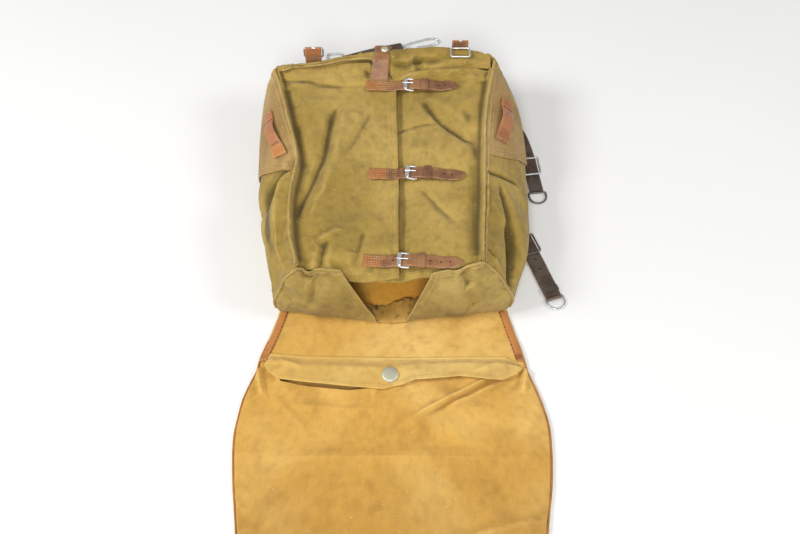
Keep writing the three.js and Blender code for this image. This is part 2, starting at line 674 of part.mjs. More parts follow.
// A round domed piece on the Z axis, such as a button or a stud.
const DOME_PROFILE = [
  { out: 0, up: 0 },
  { out: 0.9, up: 0 },
  { out: 1, up: 0.25 },
  { out: 0.85, up: 0.7 },
  { out: 0.45, up: 1 },
  { out: 0, up: 1 },
];
function dome(radius, height, sides) {
  const points = DOME_PROFILE.map(({ out, up }) => new THREE.Vector2(out * radius, up * height));
  return new THREE.LatheGeometry(points, sides).rotateX(Math.PI / 2);
}
const button = addPiece('pocket_button', dome(BUTTON.radius, BUTTON.height, BUTTON.sides), ZINC);
const buttonSeat = highestAround([pocketFlap], BUTTON.x, BUTTON.y, BUTTON.radius, BUTTON.radius);
button.position.set(BUTTON.x, BUTTON.y, buttonSeat + SEWN_GAP);

// Metal frames, and the three closure straps of the front

function roundedRectangle(Outline, length, width, radius) {
  const outline = new Outline();
  const x = length / 2 - radius;
  const y = width / 2 - radius;
  outline.absarc(x, y, radius, 0, Math.PI / 2, false);
  outline.absarc(-x, y, radius, Math.PI / 2, Math.PI, false);
  outline.absarc(-x, -y, radius, Math.PI, 1.5 * Math.PI, false);
  outline.absarc(x, -y, radius, 1.5 * Math.PI, 2 * Math.PI, false);
  return outline;
}

// A flat frame with rounded corners, its underside on z = 0.
function buckleFrame(length, width, bar, thick) {
  const outline = roundedRectangle(THREE.Shape, length, width, bar);
  outline.holes.push(roundedRectangle(THREE.Path, length - 2 * bar, width - 2 * bar, bar / 2));
  return new THREE.ExtrudeGeometry(outline, { depth: thick, bevelEnabled: false, curveSegments: 1 });
}

// A leather keeper: a short flat tube that a strap slides through along X.
function keeperTube(length, width, height, leather) {
  const outline = roundedRectangle(THREE.Shape, width, height, leather);
  outline.holes.push(roundedRectangle(THREE.Path, width - 2 * leather, height - 2 * leather, leather / 2));
  const tube = new THREE.ExtrudeGeometry(outline, { depth: length, bevelEnabled: false, curveSegments: 1 });
  return tube.translate(0, 0, -length / 2).rotateX(Math.PI / 2).rotateZ(Math.PI / 2);
}

// Along a closure strap: room before the buckle and after the keeper, the climb through the frame,
// the last bare station before the buckle, and the shares of the free end that carry a station.
const TIP = { length: 13, width: 3 };
const SEAT = { before: 3, after: 4, aside: 1, climbInset: 4, bareRun: 8, pastFrame: 2, underReach: 9 };
const FREE_SHARES = [0.35, 0.6, 0.8, 1];
const CHAPE_FIT = { fromFrame: 1, pastKeeper: 2 };
const KEEPER_SPARE = 4;
const PRONG = { share: 0.72, tip: 0.8, root: 1.1, sides: 8, lift: 1.6, back: 0.5 };
for (const closure of CLOSURES) {
  const { name, buckleX, buckleY, keeperX, startX, tipX } = closure;
  const strapY = (x) => buckleY + CLOSURE_SLOPE * (x - buckleX);
  const seatFrom = buckleX - BUCKLE_LENGTH / 2 - SEAT.before;
  const seatTo = keeperX + KEEPER_LENGTH / 2 + SEAT.after;
  const seatX = (seatFrom + seatTo) / 2;
  const seatReach = (seatTo - seatFrom) / 2;
  const seatAside = BUCKLE_WIDTH / 2 + SEAT.aside;
  const seat = highestAround(frontPanels, seatX, strapY(seatX), seatReach, seatAside) + SEWN_GAP;
  const rampFrom = buckleX - BUCKLE_LENGTH / 2 + SEAT.climbInset;
  const rampTo = buckleX + BUCKLE_LENGTH / 2 - SEAT.climbInset;
  const bare = [startX, (startX + seatFrom) / 2, seatFrom - SEAT.bareRun];
  const frameEnd = buckleX + BUCKLE_LENGTH / 2 + SEAT.pastFrame;
  const seated = [seatFrom, rampFrom, buckleX, rampTo, frameEnd, seatTo];
  const free = FREE_SHARES.map((share) => THREE.MathUtils.lerp(seatTo, tipX, share));
  const stations = [...bare, ...seated, ...free];
  const underside = (x) => {
    const raised = THREE.MathUtils.smoothstep(x, rampFrom, rampTo) * CLOSURE_STACK;
    if (x >= seatFrom && x <= seatTo) return seat + raised;
    return highestAround(frontPanels, x, strapY(x), SEAT.underReach, CLOSURE_WIDTH / 2) + SEWN_GAP;
  };
  const route = stations.map((x) => new THREE.Vector3(x, strapY(x), underside(x)));
  const widths = stations.map((x) => {
    const left = THREE.MathUtils.clamp((tipX - x) / TIP.length, 0, 1);
    return THREE.MathUtils.lerp(TIP.width, CLOSURE_WIDTH, Math.sqrt(left));
  });
  addPiece(`closure_strap_${name}`, strip(route, widths, STRAP_LEATHER), BROWN_LEATHER);

  const set = new THREE.Group();
  set.position.set(buckleX, buckleY, seat);
  set.rotation.z = Math.atan(CLOSURE_SLOPE);
  group.add(set);

  const frameBody = buckleFrame(BUCKLE_LENGTH, BUCKLE_WIDTH, BUCKLE_BAR, BUCKLE_THICK);
  const frame = addPiece(`closure_buckle_${name}`, frameBody, STEEL);
  const frameRise = STRAP_LEATHER + SEWN_GAP;
  frame.rotation.y = Math.atan(frameRise / (BUCKLE_LENGTH - BUCKLE_BAR));
  frame.position.z = frameRise / 2 + SEWN_GAP / 2;

  const chapeFrom = BUCKLE_LENGTH / 2 + CHAPE_FIT.fromFrame;
  const chapeLength = keeperX - buckleX + KEEPER_LENGTH / 2 + CHAPE_FIT.pastKeeper - chapeFrom;
  const chapeBox = new THREE.BoxGeometry(chapeLength, CLOSURE_WIDTH, CHAPE_THICK);
  const chape = addPiece(`closure_chape_${name}`, chapeBox, BROWN_LEATHER);
  chape.position.set(chapeFrom + chapeLength / 2, 0, CHAPE_THICK / 2);

  const keeperHeight = STRAP_LEATHER + 2 * SEWN_GAP + 2 * KEEPER_WALL;
  const keeperBody = keeperTube(KEEPER_LENGTH, CLOSURE_WIDTH + KEEPER_SPARE, keeperHeight, KEEPER_WALL);
  const keeper = addPiece(`closure_keeper_${name}`, keeperBody, BROWN_LEATHER);
  keeper.position.set(keeperX - buckleX, 0, CHAPE_THICK + SEWN_GAP + keeperHeight / 2);

  const prongLength = BUCKLE_LENGTH * PRONG.share;
  const prongBody = new THREE.CylinderGeometry(PRONG.tip, PRONG.root, prongLength, PRONG.sides);
  const prong = addPiece(`closure_prong_${name}`, prongBody.rotateZ(Math.PI / 2), STEEL);
  const prongLift = frameRise + BUCKLE_THICK + SEWN_GAP + PRONG.lift;
  prong.position.set((prongLength - BUCKLE_LENGTH) / 2 - PRONG.back, 0, prongLift);
  set.add(frame, chape, keeper, prong);
}

// Leather tab over the rim, with its stud

const TAB = { x: -13, width: 21, fromY: 141, toY: 186, step: 4.5 };
const tabRoute = [];
for (let y = TAB.fromY; y <= TAB.toY; y += TAB.step) {
  const under = highestAround([...frontPanels, bottomWall], TAB.x, y, TAB.width / 2, TAB.step);
  const over = under > 0 ? under : tabRoute[tabRoute.length - 1].z - SEWN_GAP;
  tabRoute.push(new THREE.Vector3(TAB.x, y, over + SEWN_GAP));
}
const tabWidths = tabRoute.map(() => TAB.width);
const centreTab = addPiece('centre_tab', strip(tabRoute, tabWidths, STRAP_LEATHER), BROWN_LEATHER);
const STUD = { aside: 2, y: 177, radius: 5, height: 3, sides: 12 };
const stud = addPiece('centre_stud', dome(STUD.radius, STUD.height, STUD.sides), ZINC);
const studSeat = highestAround([centreTab], TAB.x, STUD.y, STUD.radius, STUD.radius);
stud.position.set(TAB.x + STUD.aside, STUD.y, studSeat + SEWN_GAP);

// Buckle tabs that stand on the outside of the bottom wall's rim

const RIM_TABS = [
  { side: 'left', x: -104, topZ: 119, lean: 0.3 },
  { side: 'right', x: 88, topZ: 120, lean: 0.12 },
];
const RIM_TAB = { width: 20, fromZ: 70, rows: 9, leather: 2 };
const RIM_FRAME = { length: 18, width: 27, bar: 3, thick: 2.4, belowTop: 1, restRow: 6 };
const BEHIND = new THREE.Vector3(0, -1, 0);
for (const tab of RIM_TABS) {
  const wallY = (z) => {
    let furthest = -Infinity;
    for (const share of [-0.5, 0, 0.5]) {
      const from = new THREE.Vector3(tab.x + share * RIM_TAB.width, SKY, z);
      const hit = surfaceAlong([bottomWall], from, BEHIND);
      if (hit) furthest = Math.max(furthest, hit.y);
    }
    return furthest;
  };
  const heights = [];
  for (let row = 0; row <= RIM_TAB.rows; row += 1) {
    heights.push(THREE.MathUtils.lerp(RIM_TAB.fromZ, tab.topZ, row / RIM_TAB.rows));
  }
  let lastY = 0;
  let lastZ = 0;
  const faces = heights.map((z) => {
    const hitY = wallY(z);
    const y = Number.isFinite(hitY) ? Math.max(hitY, lastY) : lastY + tab.lean * (z - lastZ);
    lastY = y;
    lastZ = z;
    return y + 2 * SEWN_GAP + RIM_TAB.leather;
  });
  const place = (column, row) => {
    const x = tab.x + (column - 0.5) * RIM_TAB.width;
    return new THREE.Vector3(x, faces[row], heights[row]);
  };
  addPiece(`rim_chape_${tab.side}`, wall(1, RIM_TAB.rows, place, -RIM_TAB.leather), BROWN_LEATHER);
  const frameBody = buckleFrame(RIM_FRAME.width, RIM_FRAME.length, RIM_FRAME.bar, RIM_FRAME.thick);
  const frame = addPiece(`rim_buckle_${tab.side}`, frameBody, STEEL);
  const topFace = faces[RIM_TAB.rows];
  if (tab.side === 'left') {
    frame.rotation.x = Math.PI / 2;
    const frameZ = tab.topZ - RIM_FRAME.length / 2 - RIM_FRAME.belowTop;
    frame.position.set(tab.x, topFace + SEWN_GAP + RIM_FRAME.thick, frameZ);
  } else {
    const innerFace = faces[RIM_FRAME.restRow] - RIM_TAB.leather;
    const middleY = innerFace - SEWN_GAP - RIM_FRAME.length / 2;
    const rest = highestAround([bottomWall], tab.x, middleY, RIM_FRAME.width / 2, RIM_FRAME.length / 2);
    frame.position.set(tab.x, middleY, rest + SEWN_GAP);
  }
}

// Harness straps that lie on the surface, with their buckles, rings and hook

// Smooth curve on the surface through a route of X and Y.
function flatCurve(route) {
  const points = route.map(([x, y]) => new THREE.Vector3(x, y, 0));
  return new THREE.CatmullRomCurve3(points, false, 'centripetal');
}

const harnessEnds = {};
for (const { name, width, endWidth, route } of HARNESS) {
  const curve = flatCurve(route);
  const points = curve.getSpacedPoints(ROUTE_STEPS);
  const widths = points.map((_, index) => {
    const taper = Math.min((STRAP_TAPER * index) / ROUTE_STEPS, 1);
    return THREE.MathUtils.lerp(width, endWidth, taper);
  });
  addPiece(name, strip(points, widths, HARNESS_LEATHER), DARK_LEATHER);
  harnessEnds[name] = { end: points[ROUTE_STEPS], heading: curve.getTangent(1), curve };
}

const RING = { width: 25, depth: 20, segments: 6 };

// A D-shaped ring: straight bar at X = 0, round side towards +X, lying on z = 0.
function ringBody(width, depth, wire) {
  const half = width / 2;
  const bow = depth - half;
  const outline = new THREE.Shape();
  outline.moveTo(0, -half);
  outline.lineTo(bow, -half);
  outline.absarc(bow, 0, half, -Math.PI / 2, Math.PI / 2, false);
  outline.lineTo(0, half);
  const hole = new THREE.Path();
  hole.moveTo(wire, -half + wire);
  hole.lineTo(bow, -half + wire);
  hole.absarc(bow, 0, half - wire, -Math.PI / 2, Math.PI / 2, false);
  hole.lineTo(wire, half - wire);
  outline.holes.push(hole);
  return new THREE.ExtrudeGeometry(outline, {
    depth: wire,
    bevelEnabled: false,
    curveSegments: RING.segments,
  });
}

function placeAt(mesh, point, heading, z) {
  mesh.position.set(point.x, point.y, z);
  mesh.rotation.z = Math.atan2(heading.y, heading.x);
}

const TAIL_BUCKLE = { length: 30, width: 25, bar: 3.2, thick: 2.6 };
const TAIL_END = { length: 27, width: 18 };

const upper = harnessEnds.upper_tail;
const upperEndBody = new THREE.BoxGeometry(TAIL_END.length, TAIL_END.width, HARNESS_LEATHER);
const upperEnd = addPiece('upper_tail_end', upperEndBody, DARK_LEATHER);
const upperEndCentre = upper.end.clone().addScaledVector(upper.heading, SEWN_GAP + TAIL_END.length / 2);
placeAt(upperEnd, upperEndCentre, upper.heading, HARNESS_LEATHER / 2);
const upperRing = addPiece('upper_tail_ring', ringBody(RING.width, RING.depth, RING_WIRE), STEEL);
const upperRingBar = upper.end.clone().addScaledVector(upper.heading, 2 * SEWN_GAP + TAIL_END.length);
placeAt(upperRing, upperRingBar, upper.heading, 0);

const lower = harnessEnds.lower_tail;
const lowerRing = addPiece('lower_tail_ring', ringBody(RING.width, RING.depth, RING_WIRE), STEEL);
placeAt(lowerRing, lower.end.clone().addScaledVector(lower.heading, SEWN_GAP), lower.heading, 0);
const TAIL_KEEPER = { length: 8, width: TAIL_WIDTH + 1, fromEnd: 9 };
const keeperBand = new THREE.BoxGeometry(TAIL_KEEPER.length, TAIL_KEEPER.width, BINDING_THICK);
const lowerKeeper = addPiece('lower_tail_keeper', keeperBand, DARK_LEATHER);
const keeperPlace = lower.end.clone().addScaledVector(lower.heading, -TAIL_KEEPER.fromEnd);
placeAt(lowerKeeper, keeperPlace, lower.heading, HARNESS_LEATHER + SEWN_GAP + BINDING_THICK / 2);

const TAIL_BUCKLES = [
  { tail: 'upper_tail', share: 0.88 },
  { tail: 'lower_tail', share: 0.63 },
];
for (const { tail, share } of TAIL_BUCKLES) {
  const body = buckleFrame(TAIL_BUCKLE.length, TAIL_BUCKLE.width, TAIL_BUCKLE.bar, TAIL_BUCKLE.thick);
  const frame = addPiece(`${tail}_buckle`, body, STEEL);
  const { curve } = harnessEnds[tail];
  placeAt(frame, curve.getPointAt(share), curve.getTangentAt(share), HARNESS_LEATHER + SEWN_GAP);
}

const HOOK_RING = { length: 25, width: 24, bar: 3.2, thick: 3 };
const hookFrameBody = buckleFrame(HOOK_RING.length, HOOK_RING.width, HOOK_RING.bar, HOOK_RING.thick);
const hookFrame = addPiece('hook_strap_buckle', hookFrameBody, STEEL);
const shoulder = harnessEnds.shoulder_strap_left;
const hookFrameReach = SEWN_GAP + HOOK_RING.length / 2;
const hookFrameCentre = shoulder.end.clone().addScaledVector(shoulder.heading, hookFrameReach);
placeAt(hookFrame, hookFrameCentre, shoulder.heading, 0);

// Steel hook: a long wire bend with an eye at the strap and an open side.
const HOOK_ROUTE = [[18, -5], [46, -6], [56, -1], [49, 6], [15, 5], [6, 4], [1.8, -0.5], [7, -5], [12, -2]];
const HOOK_WIRE = 1.7;
const HOOK_SIDES = 6;
const HOOK_STEPS = 28;
const hookCorners = [];
for (let corner = 0; corner < HOOK_SIDES; corner += 1) {
  const angle = (2 * Math.PI * corner) / HOOK_SIDES;
  hookCorners.push(new THREE.Vector2(HOOK_WIRE * Math.cos(angle), HOOK_WIRE * Math.sin(angle)));
}
const hookSection = new THREE.Shape(hookCorners);
const hookBody = new THREE.ExtrudeGeometry(hookSection, {
  steps: HOOK_STEPS,
  bevelEnabled: false,
  extrudePath: flatCurve(HOOK_ROUTE),
});
const hook = addPiece('steel_hook', hookBody, STEEL);
const hookStrap = harnessEnds.hook_strap;
placeAt(hook, hookStrap.end, hookStrap.heading, HOOK_WIRE);

// The part's origin is the middle of its footprint, on the surface that it lies on.
group.updateMatrixWorld(true);
const footprint = new THREE.Box3().setFromObject(group, true).getCenter(new THREE.Vector3());
group.position.set(-footprint.x, -footprint.y, 0);

export default group;
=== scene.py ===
# %% [markdown]
# # Dressing an army rucksack
# The rucksack lies on its back with its lid folded open. Its construction is fixed already: every
# wall, strap and buckle comes from the frame at its real size. This lesson gives those solids the
# look of old canvas, leather and steel, one piece at a time, without moving any of them.

# %% The frame
import json
import math
from collections import Counter, defaultdict

import bmesh
import bpy
import numpy as np
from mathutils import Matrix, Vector


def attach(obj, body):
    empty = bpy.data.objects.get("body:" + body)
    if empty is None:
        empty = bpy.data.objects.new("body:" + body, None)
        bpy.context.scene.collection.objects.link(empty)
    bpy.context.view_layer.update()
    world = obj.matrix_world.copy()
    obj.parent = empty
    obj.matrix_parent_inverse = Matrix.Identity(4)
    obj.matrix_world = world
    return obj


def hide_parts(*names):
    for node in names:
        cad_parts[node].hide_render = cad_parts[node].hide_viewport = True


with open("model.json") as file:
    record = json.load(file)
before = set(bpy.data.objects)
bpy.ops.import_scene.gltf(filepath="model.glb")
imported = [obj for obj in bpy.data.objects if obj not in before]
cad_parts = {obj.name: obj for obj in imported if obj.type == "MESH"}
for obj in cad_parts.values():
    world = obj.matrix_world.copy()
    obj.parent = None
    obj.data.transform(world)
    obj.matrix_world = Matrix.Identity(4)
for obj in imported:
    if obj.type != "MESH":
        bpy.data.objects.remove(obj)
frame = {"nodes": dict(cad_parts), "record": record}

MM = 0.001
UP = (0, 0, 1)
SIDES = {"left": -1, "right": 1}
OTHER = {"left": "right", "right": "left"}
BAG_MIDDLE = np.array([-16.8, 154.9, 0.0]) * MM
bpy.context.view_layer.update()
nodes = frame["nodes"]

# %% [markdown]
# ## Camera
# The camera comes first, because it decides which details will show. The photograph was taken from
# above the lid's end, looking down steeply, with a normal lens. Its place was found once from the
# bag's corners, so here it is only three numbers and an angle.

# %% Camera
EYE = Vector((-0.0077, -0.7173, 1.1574))
LOOK_DOWN = math.radians(56)
camera_lens = bpy.data.cameras.new("photo_camera")
camera_lens.lens = 50
camera_lens.sensor_width = 36
camera = bpy.data.objects.new("photo_camera", camera_lens)
camera.location = EYE
camera.rotation_euler = (math.pi / 2 - LOOK_DOWN, 0, 0)
scene = bpy.context.scene
scene.collection.objects.link(camera)
scene.camera = camera
print("camera", [round(x, 3) for x in EYE], "looks down", round(math.degrees(LOOK_DOWN)), "degrees")

# %% [markdown]
# ## Node trees as Python
# A material is a graph of nodes, and so is a tree that makes geometry. Written out link by link
# they are hard to read, so one small class wraps a socket: Python's operators on it add Math nodes,
# and one method adds any other node, with its settings first and then the values or wires of its
# sockets. Colours are written as the eye names them and turned into the shader's linear ones.

# %% Wires between nodes
class Wire:
    """An output socket of a node tree."""

    def __init__(self, tree, socket):
        self.tree = tree
        self.socket = socket

    def node(self, kind, settings=(), inputs=(), out=0):
        """The wire that leaves a new node. Each of its inputs is a value or another wire."""
        made = self.tree.nodes.new(kind)
        for key, value in dict(settings).items():
            setattr(made, key, value)
        for key, value in dict(inputs).items():
            if isinstance(value, Wire):
                value.feeds(made, key)
            else:
                made.inputs[key].default_value = value
        return Wire(self.tree, made.outputs[out])

    def beside(self, out):
        """The wire from another output of the same node."""
        return Wire(self.tree, self.socket.node.outputs[out])

    def feeds(self, node, socket):
        self.tree.links.new(self.socket, node.inputs[socket])

    def maths(self, operation, *values):
        return self.node("ShaderNodeMath", {"operation": operation}, dict(enumerate(values)))

    def __add__(self, other):
        return self.maths("ADD", self, other)

    def __sub__(self, other):
        return self.maths("SUBTRACT", self, other)

    def __rsub__(self, other):
        return self.maths("SUBTRACT", other, self)

    def __mul__(self, other):
        return self.maths("MULTIPLY", self, other)

    __radd__ = __add__
    __rmul__ = __mul__

    def sine(self):
        return self.maths("SINE", self)

    def axis(self, name):
        return self.node("ShaderNodeSeparateXYZ", (), {0: self}, name)

    def place(self):
        """Places in the object's own space, in metres."""
        return self.node("ShaderNodeTexCoord", out="Object")

    def attribute(self, name):
        return self.node("ShaderNodeAttribute", {"attribute_name": name}, out="Fac")

    def band(self, low, high):
        """0 below low, 1 above high, and a soft step between them."""
        limits = {"Value": self, "From Min": low, "From Max": high}
        return self.node("ShaderNodeMapRange", {"interpolation_type": "SMOOTHSTEP"}, limits)

    def noise(self, scale, detail=3.0):
        """A cloudy value around 0.5 that repeats about scale times a metre."""
        return self.node("ShaderNodeTexNoise", (), {"Vector": self, "Scale": scale, "Detail": detail})

    def tint(self, low, high):
        """Colour low where this wire is 0, high where it is 1."""
        low, high = (shade if isinstance(shade, Wire) else linear(*shade) for shade in (low, high))
        return self.node("ShaderNodeMix", {"data_type": "RGBA"}, {0: self, 6: low, 7: high}, 2)

    def bumps(self, shader, distance, strength):
        """Lets this wire stand out of a surface by up to distance millimetres."""
        inputs = {"Height": self, "Distance": distance * MM, "Strength": strength}
        self.node("ShaderNodeBump", (), inputs, "Normal").feeds(shader, "Normal")


def linear(red, green, blue):
    """A colour as the eye names it, in 0 to 255, as the linear colour that shaders use."""
    return (*(((value / 255 + 0.055) / 1.055) ** 2.4 for value in (red, green, blue)), 1.0)


def new_finish(name, roughness, **constants):
    """A material, a wire to start from, and its shader with the constant sockets set."""
    made = bpy.data.materials.new(name)
    made.use_nodes = True
    shader = made.node_tree.nodes["Principled BSDF"]
    shader.inputs["Roughness"].default_value = roughness
    for socket, value in constants.items():
        shader.inputs[socket.replace("_", " ")].default_value = value
    return made, Wire(made.node_tree, shader.outputs[0]), shader


print("wires ready")

# %% [markdown]
# ## Floor and light
# The object was photographed on a white sheet under big soft lamps, so its shadows are pale and
# wide. A plain pale floor, an even sky and three large area lamps give the same light. The key lamp
# stands on the left, because the laps throw their shadows to the right. One as strong stands over
# the lid's end, lights the flaps and reaches into the open mouth. A weaker one on the right keeps
# the right side from going dark.

# %% Floor and light
FLOOR_HALF = 3.0
FLOOR_DROP = 0.3 * MM
SKY_STRENGTH = 0.33
LAMP_AIM = Vector((0, 0, 0.05))
LAMPS = {
    "key": {"place": (-2.1, -0.3, 2.0), "size": 0.8, "watts": 43},
    "front": {"place": (-0.2, -2.0, 2.15), "size": 0.9, "watts": 45},
    "right": {"place": (2.2, -0.2, 2.0), "size": 0.8, "watts": 22},
}
scene.view_settings.view_transform = "Standard"
scene.world = bpy.data.worlds.new("sky")
scene.world.use_nodes = True
sky = scene.world.node_tree.nodes["Background"]
sky.inputs["Color"].default_value = (1.0, 0.99, 0.97, 1.0)
sky.inputs["Strength"].default_value = SKY_STRENGTH
for name, lamp in LAMPS.items():
    light = bpy.data.lights.new("lamp_" + name, "AREA")
    light.size = lamp["size"]
    light.energy = lamp["watts"]
    holder = bpy.data.objects.new(light.name, light)
    holder.location = lamp["place"]
    holder.rotation_euler = (LAMP_AIM - holder.location).to_track_quat("-Z", "Y").to_euler()
    scene.collection.objects.link(holder)

floor_finish, wire, shader = new_finish("pale_floor", 0.9)
wire.place().noise(2.5).tint((234, 234, 233), (240, 240, 239)).feeds(shader, "Base Color")
floor_mesh = bpy.data.meshes.new("floor")
corners = [(x * FLOOR_HALF, y * FLOOR_HALF, -FLOOR_DROP) for x, y in ((-1, -1), (1, -1), (1, 1), (-1, 1))]
floor_mesh.from_pydata(corners, [], [(0, 1, 2, 3)])
floor_mesh.materials.append(floor_finish)
floor = bpy.data.objects.new("floor", floor_mesh)
scene.collection.objects.link(floor)
print("floor and", len(LAMPS), "lamps")

# %% [markdown]
# ## Canvas
# Army canvas is a plain weave of thick cotton threads. Up close it is a grid of small bumps with
# slubs, thicker stretches of thread. From further away, what shows is how it aged: it fades on
# ridges and hems, and its valleys take one dark colour for the dirt they hold and for painted
# shade. The threads follow the cut of each panel, so they read the panel's own UV map, which is in
# metres. Fading and stains read the object's space, and an attribute says where the cloth stands
# out, which fades as wear, and where it lies low, which takes dirt and painted shade.

# %% Canvas finish
CUT_MAP = "cut"
THREAD_PITCH = 1.0 * MM
THREADS = math.pi / THREAD_PITCH
SLUB_THIN, SLUB_LONG = 950, 55
END_DARKENING_RUN = (0.13, 0.36)
FLECK = (226, 208, 160)


def canvas(name, dye, faded, dirt_and_shade, stain=0.35, flecks=0.5, end_darkening=0.0, spots=23.0):
    """Cloth of a dye, what it fades to, its dirt and painted shade, and how much of each mark."""
    made, wire, shader = new_finish(name, 0.92, Specular_IOR_Level=0.25, Sheen_Weight=0.12)
    cut = wire.node("ShaderNodeUVMap", {"uv_map": CUT_MAP})
    across, along = cut.axis("X"), cut.axis("Y")
    place = wire.place()
    wear = wire.attribute("wear")
    weave = (across * THREADS).sine() * (along * THREADS).sine()
    warp = wire.node("ShaderNodeCombineXYZ", (), {"X": across * SLUB_THIN, "Y": along * SLUB_LONG})
    weft = wire.node("ShaderNodeCombineXYZ", (), {"X": across * SLUB_LONG, "Y": along * SLUB_THIN})
    slubs = warp.noise(1.0, 2.0) + weft.noise(1.0, 2.0) - 1.0
    fade = place.noise(8.0, 5.0).band(0.4, 0.68)
    grime = place.noise(130.0, 4.0)
    # The cloth darkens towards the lid's end, further along negative Y.
    darker_to_end = (0 - place.axis("Y")).band(*END_DARKENING_RUN) * (fade * 0.5 + 0.6) * end_darkening
    layers = [
        (place.noise(spots, 4.0).band(0.5, 0.78) * stain, dirt_and_shade),
        (place.noise(64.0, 7.0).band(0.4, 0.76) * 0.26, dirt_and_shade),
        (darker_to_end, dirt_and_shade),
        (wear.band(0.08, 1.0) * 0.75, faded),
        # Low places take the dark colour: dirt and painted shade in the valleys.
        ((0 - wear).band(0.1, 1.0) * 0.75, dirt_and_shade),
        ((slubs * 0.5 + grime - 0.35).band(0.0, 0.6) * 0.28, dirt_and_shade),
        (place.noise(330.0, 1.0).band(0.735, 0.79) * flecks, FLECK),
    ]
    colour = fade.tint(dye, faded)
    for share, shade in layers:
        colour = share.tint(colour, shade)
    colour.feeds(shader, "Base Color")
    (weave * 0.22 + slubs * 0.9 + grime * 0.5).bumps(shader, 0.35, 0.8)
    (grime * 0.12 + 0.84).feeds(shader, "Roughness")
    return made


OLIVE = canvas("olive_canvas", (160, 133, 62), (188, 158, 85), (68, 57, 28))
FADED = canvas("seam_canvas", (178, 150, 86), (198, 172, 112), (112, 92, 48), stain=0.5)
# The flaps get a lighter, more faded copy of the olive canvas; part of its lightness is painted light for
# the flaps.
FLAP_OLIVE = canvas("flap_canvas", (168, 143, 75), (194, 169, 101), (92, 78, 40), stain=0.6)
PATCH = canvas("patch_canvas", (158, 126, 74), (188, 155, 98), (104, 80, 50), stain=0.8, flecks=0.3)
INNER = canvas("inner_canvas", (255, 186, 70), (255, 202, 96), (214, 142, 56), flecks=0.2)
FACING = canvas(
    "facing_canvas", (186, 140, 64), (212, 168, 88), (66, 50, 28), stain=1.4, flecks=0.2, spots=70.0,
)
LINING = canvas("lid_lining", (208, 163, 80), (228, 189, 110), (146, 104, 44), end_darkening=0.4)
POCKET_CLOTH = canvas("pocket_cloth", (206, 158, 74), (230, 188, 106), (142, 100, 40), end_darkening=0.6)
POCKET_FLAP_CLOTH = canvas("flap_cloth", (214, 174, 92), (228, 194, 118), (150, 112, 54), flecks=0.2)
LID_EDGE = canvas("lid_edge_canvas", (168, 108, 52), (192, 134, 72), (110, 68, 34), stain=0.6)
print("canvas finishes made")

# %% [markdown]
# ## Leather, metal and thread
# Strap leather darkens with sweat and dries out at its edges, where it turns pale and orange. The
# attribute tone says where the leather stayed orange, as it did under the sewn ends, and wear says
# where its edges are rubbed. The steel is plated and dulled, with darker spots in the plating. The
# stitches are waxed linen thread.

# %% Leather, metal and thread finishes
def leather(name, hide, dark, worn, orange, gloss=0.5):
    """Leather of a hide's colour, with its dark clouds, its rubbed edges and the dye that it kept."""
    made, wire, shader = new_finish(name, gloss, Specular_IOR_Level=0.4, Coat_Roughness=0.35)
    place = wire.place()
    wear, tone = wire.attribute("wear"), wire.attribute("tone")
    cells = {"Vector": place, "Scale": 900.0}
    grain = wire.node("ShaderNodeTexVoronoi", {"feature": "F1"}, cells, "Distance")
    creases = place.noise(210.0, 5.0)
    clouds = place.noise(46.0, 4.0)
    colour = clouds.band(0.38, 0.64).tint(hide, dark)
    colour = (tone * clouds.band(0.25, 0.5)).tint(colour, orange)
    colour = (creases.band(0.56, 0.72) * 0.5).tint(colour, dark)
    colour = ((wear * creases.band(0.3, 0.6)).band(0.05, 0.9) * 0.8).tint(colour, worn)
    colour.feeds(shader, "Base Color")
    (grain * 0.5 + creases * 0.8).bumps(shader, 0.25, 0.6)
    (creases * 0.3 + (gloss - 0.15)).feeds(shader, "Roughness")
    (wear * 0.1 + 0.12).feeds(shader, "Coat Weight")
    return made


def metal(name, bright, dull, roughness, metallic, spots):
    """Metal with dull clouds, and dark pits in it as far as spots says."""
    made, wire, shader = new_finish(name, roughness, Metallic=metallic)
    place = wire.place()
    clouds = place.noise(160.0, 4.0)
    pits = place.noise(700.0, 3.0).band(0.58, 0.72) * spots
    (clouds.band(0.35, 0.7) * 0.5 + pits).tint(bright, dull).feeds(shader, "Base Color")
    (clouds * 0.25 + pits * 0.3 + (roughness - 0.1)).feeds(shader, "Roughness")
    place.noise(1400.0, 2.0).bumps(shader, 0.06, 0.4)
    return made


def thread(name, light, dark):
    """Waxed thread that goes from light to dark along its row."""
    made, wire, shader = new_finish(name, 0.8)
    wire.place().noise(90.0, 2.0).band(0.35, 0.65).tint(light, dark).feeds(shader, "Base Color")
    return made


BROWN = leather("brown_leather", (154, 110, 74), (110, 77, 56), (192, 148, 106), (166, 104, 58))
TAN = leather("tan_leather", (154, 108, 76), (112, 78, 60), (200, 150, 110), (174, 114, 72), gloss=0.45)
BINDING = leather("binding_leather", (180, 116, 62), (124, 80, 46), (210, 154, 96), (186, 124, 66))
HARNESS = leather("harness_leather", (92, 80, 69), (60, 51, 45), (142, 124, 106), (120, 84, 60))
STEEL = metal("plated_steel", (238, 240, 242), (176, 178, 182), roughness=0.32, metallic=0.85, spots=0.4)
DULL_STEEL = metal("dull_steel", (136, 135, 128), (84, 82, 78), roughness=0.45, metallic=0.9, spots=0.7)
ZINC = metal("button_metal", (214, 212, 188), (186, 184, 160), roughness=0.45, metallic=0.6, spots=0.25)
PALE_THREAD = thread("pale_thread", (214, 186, 124), (176, 142, 86))
DARK_THREAD = thread("dark_thread", (92, 60, 38), (66, 44, 30))
print("leather, metal and thread made")

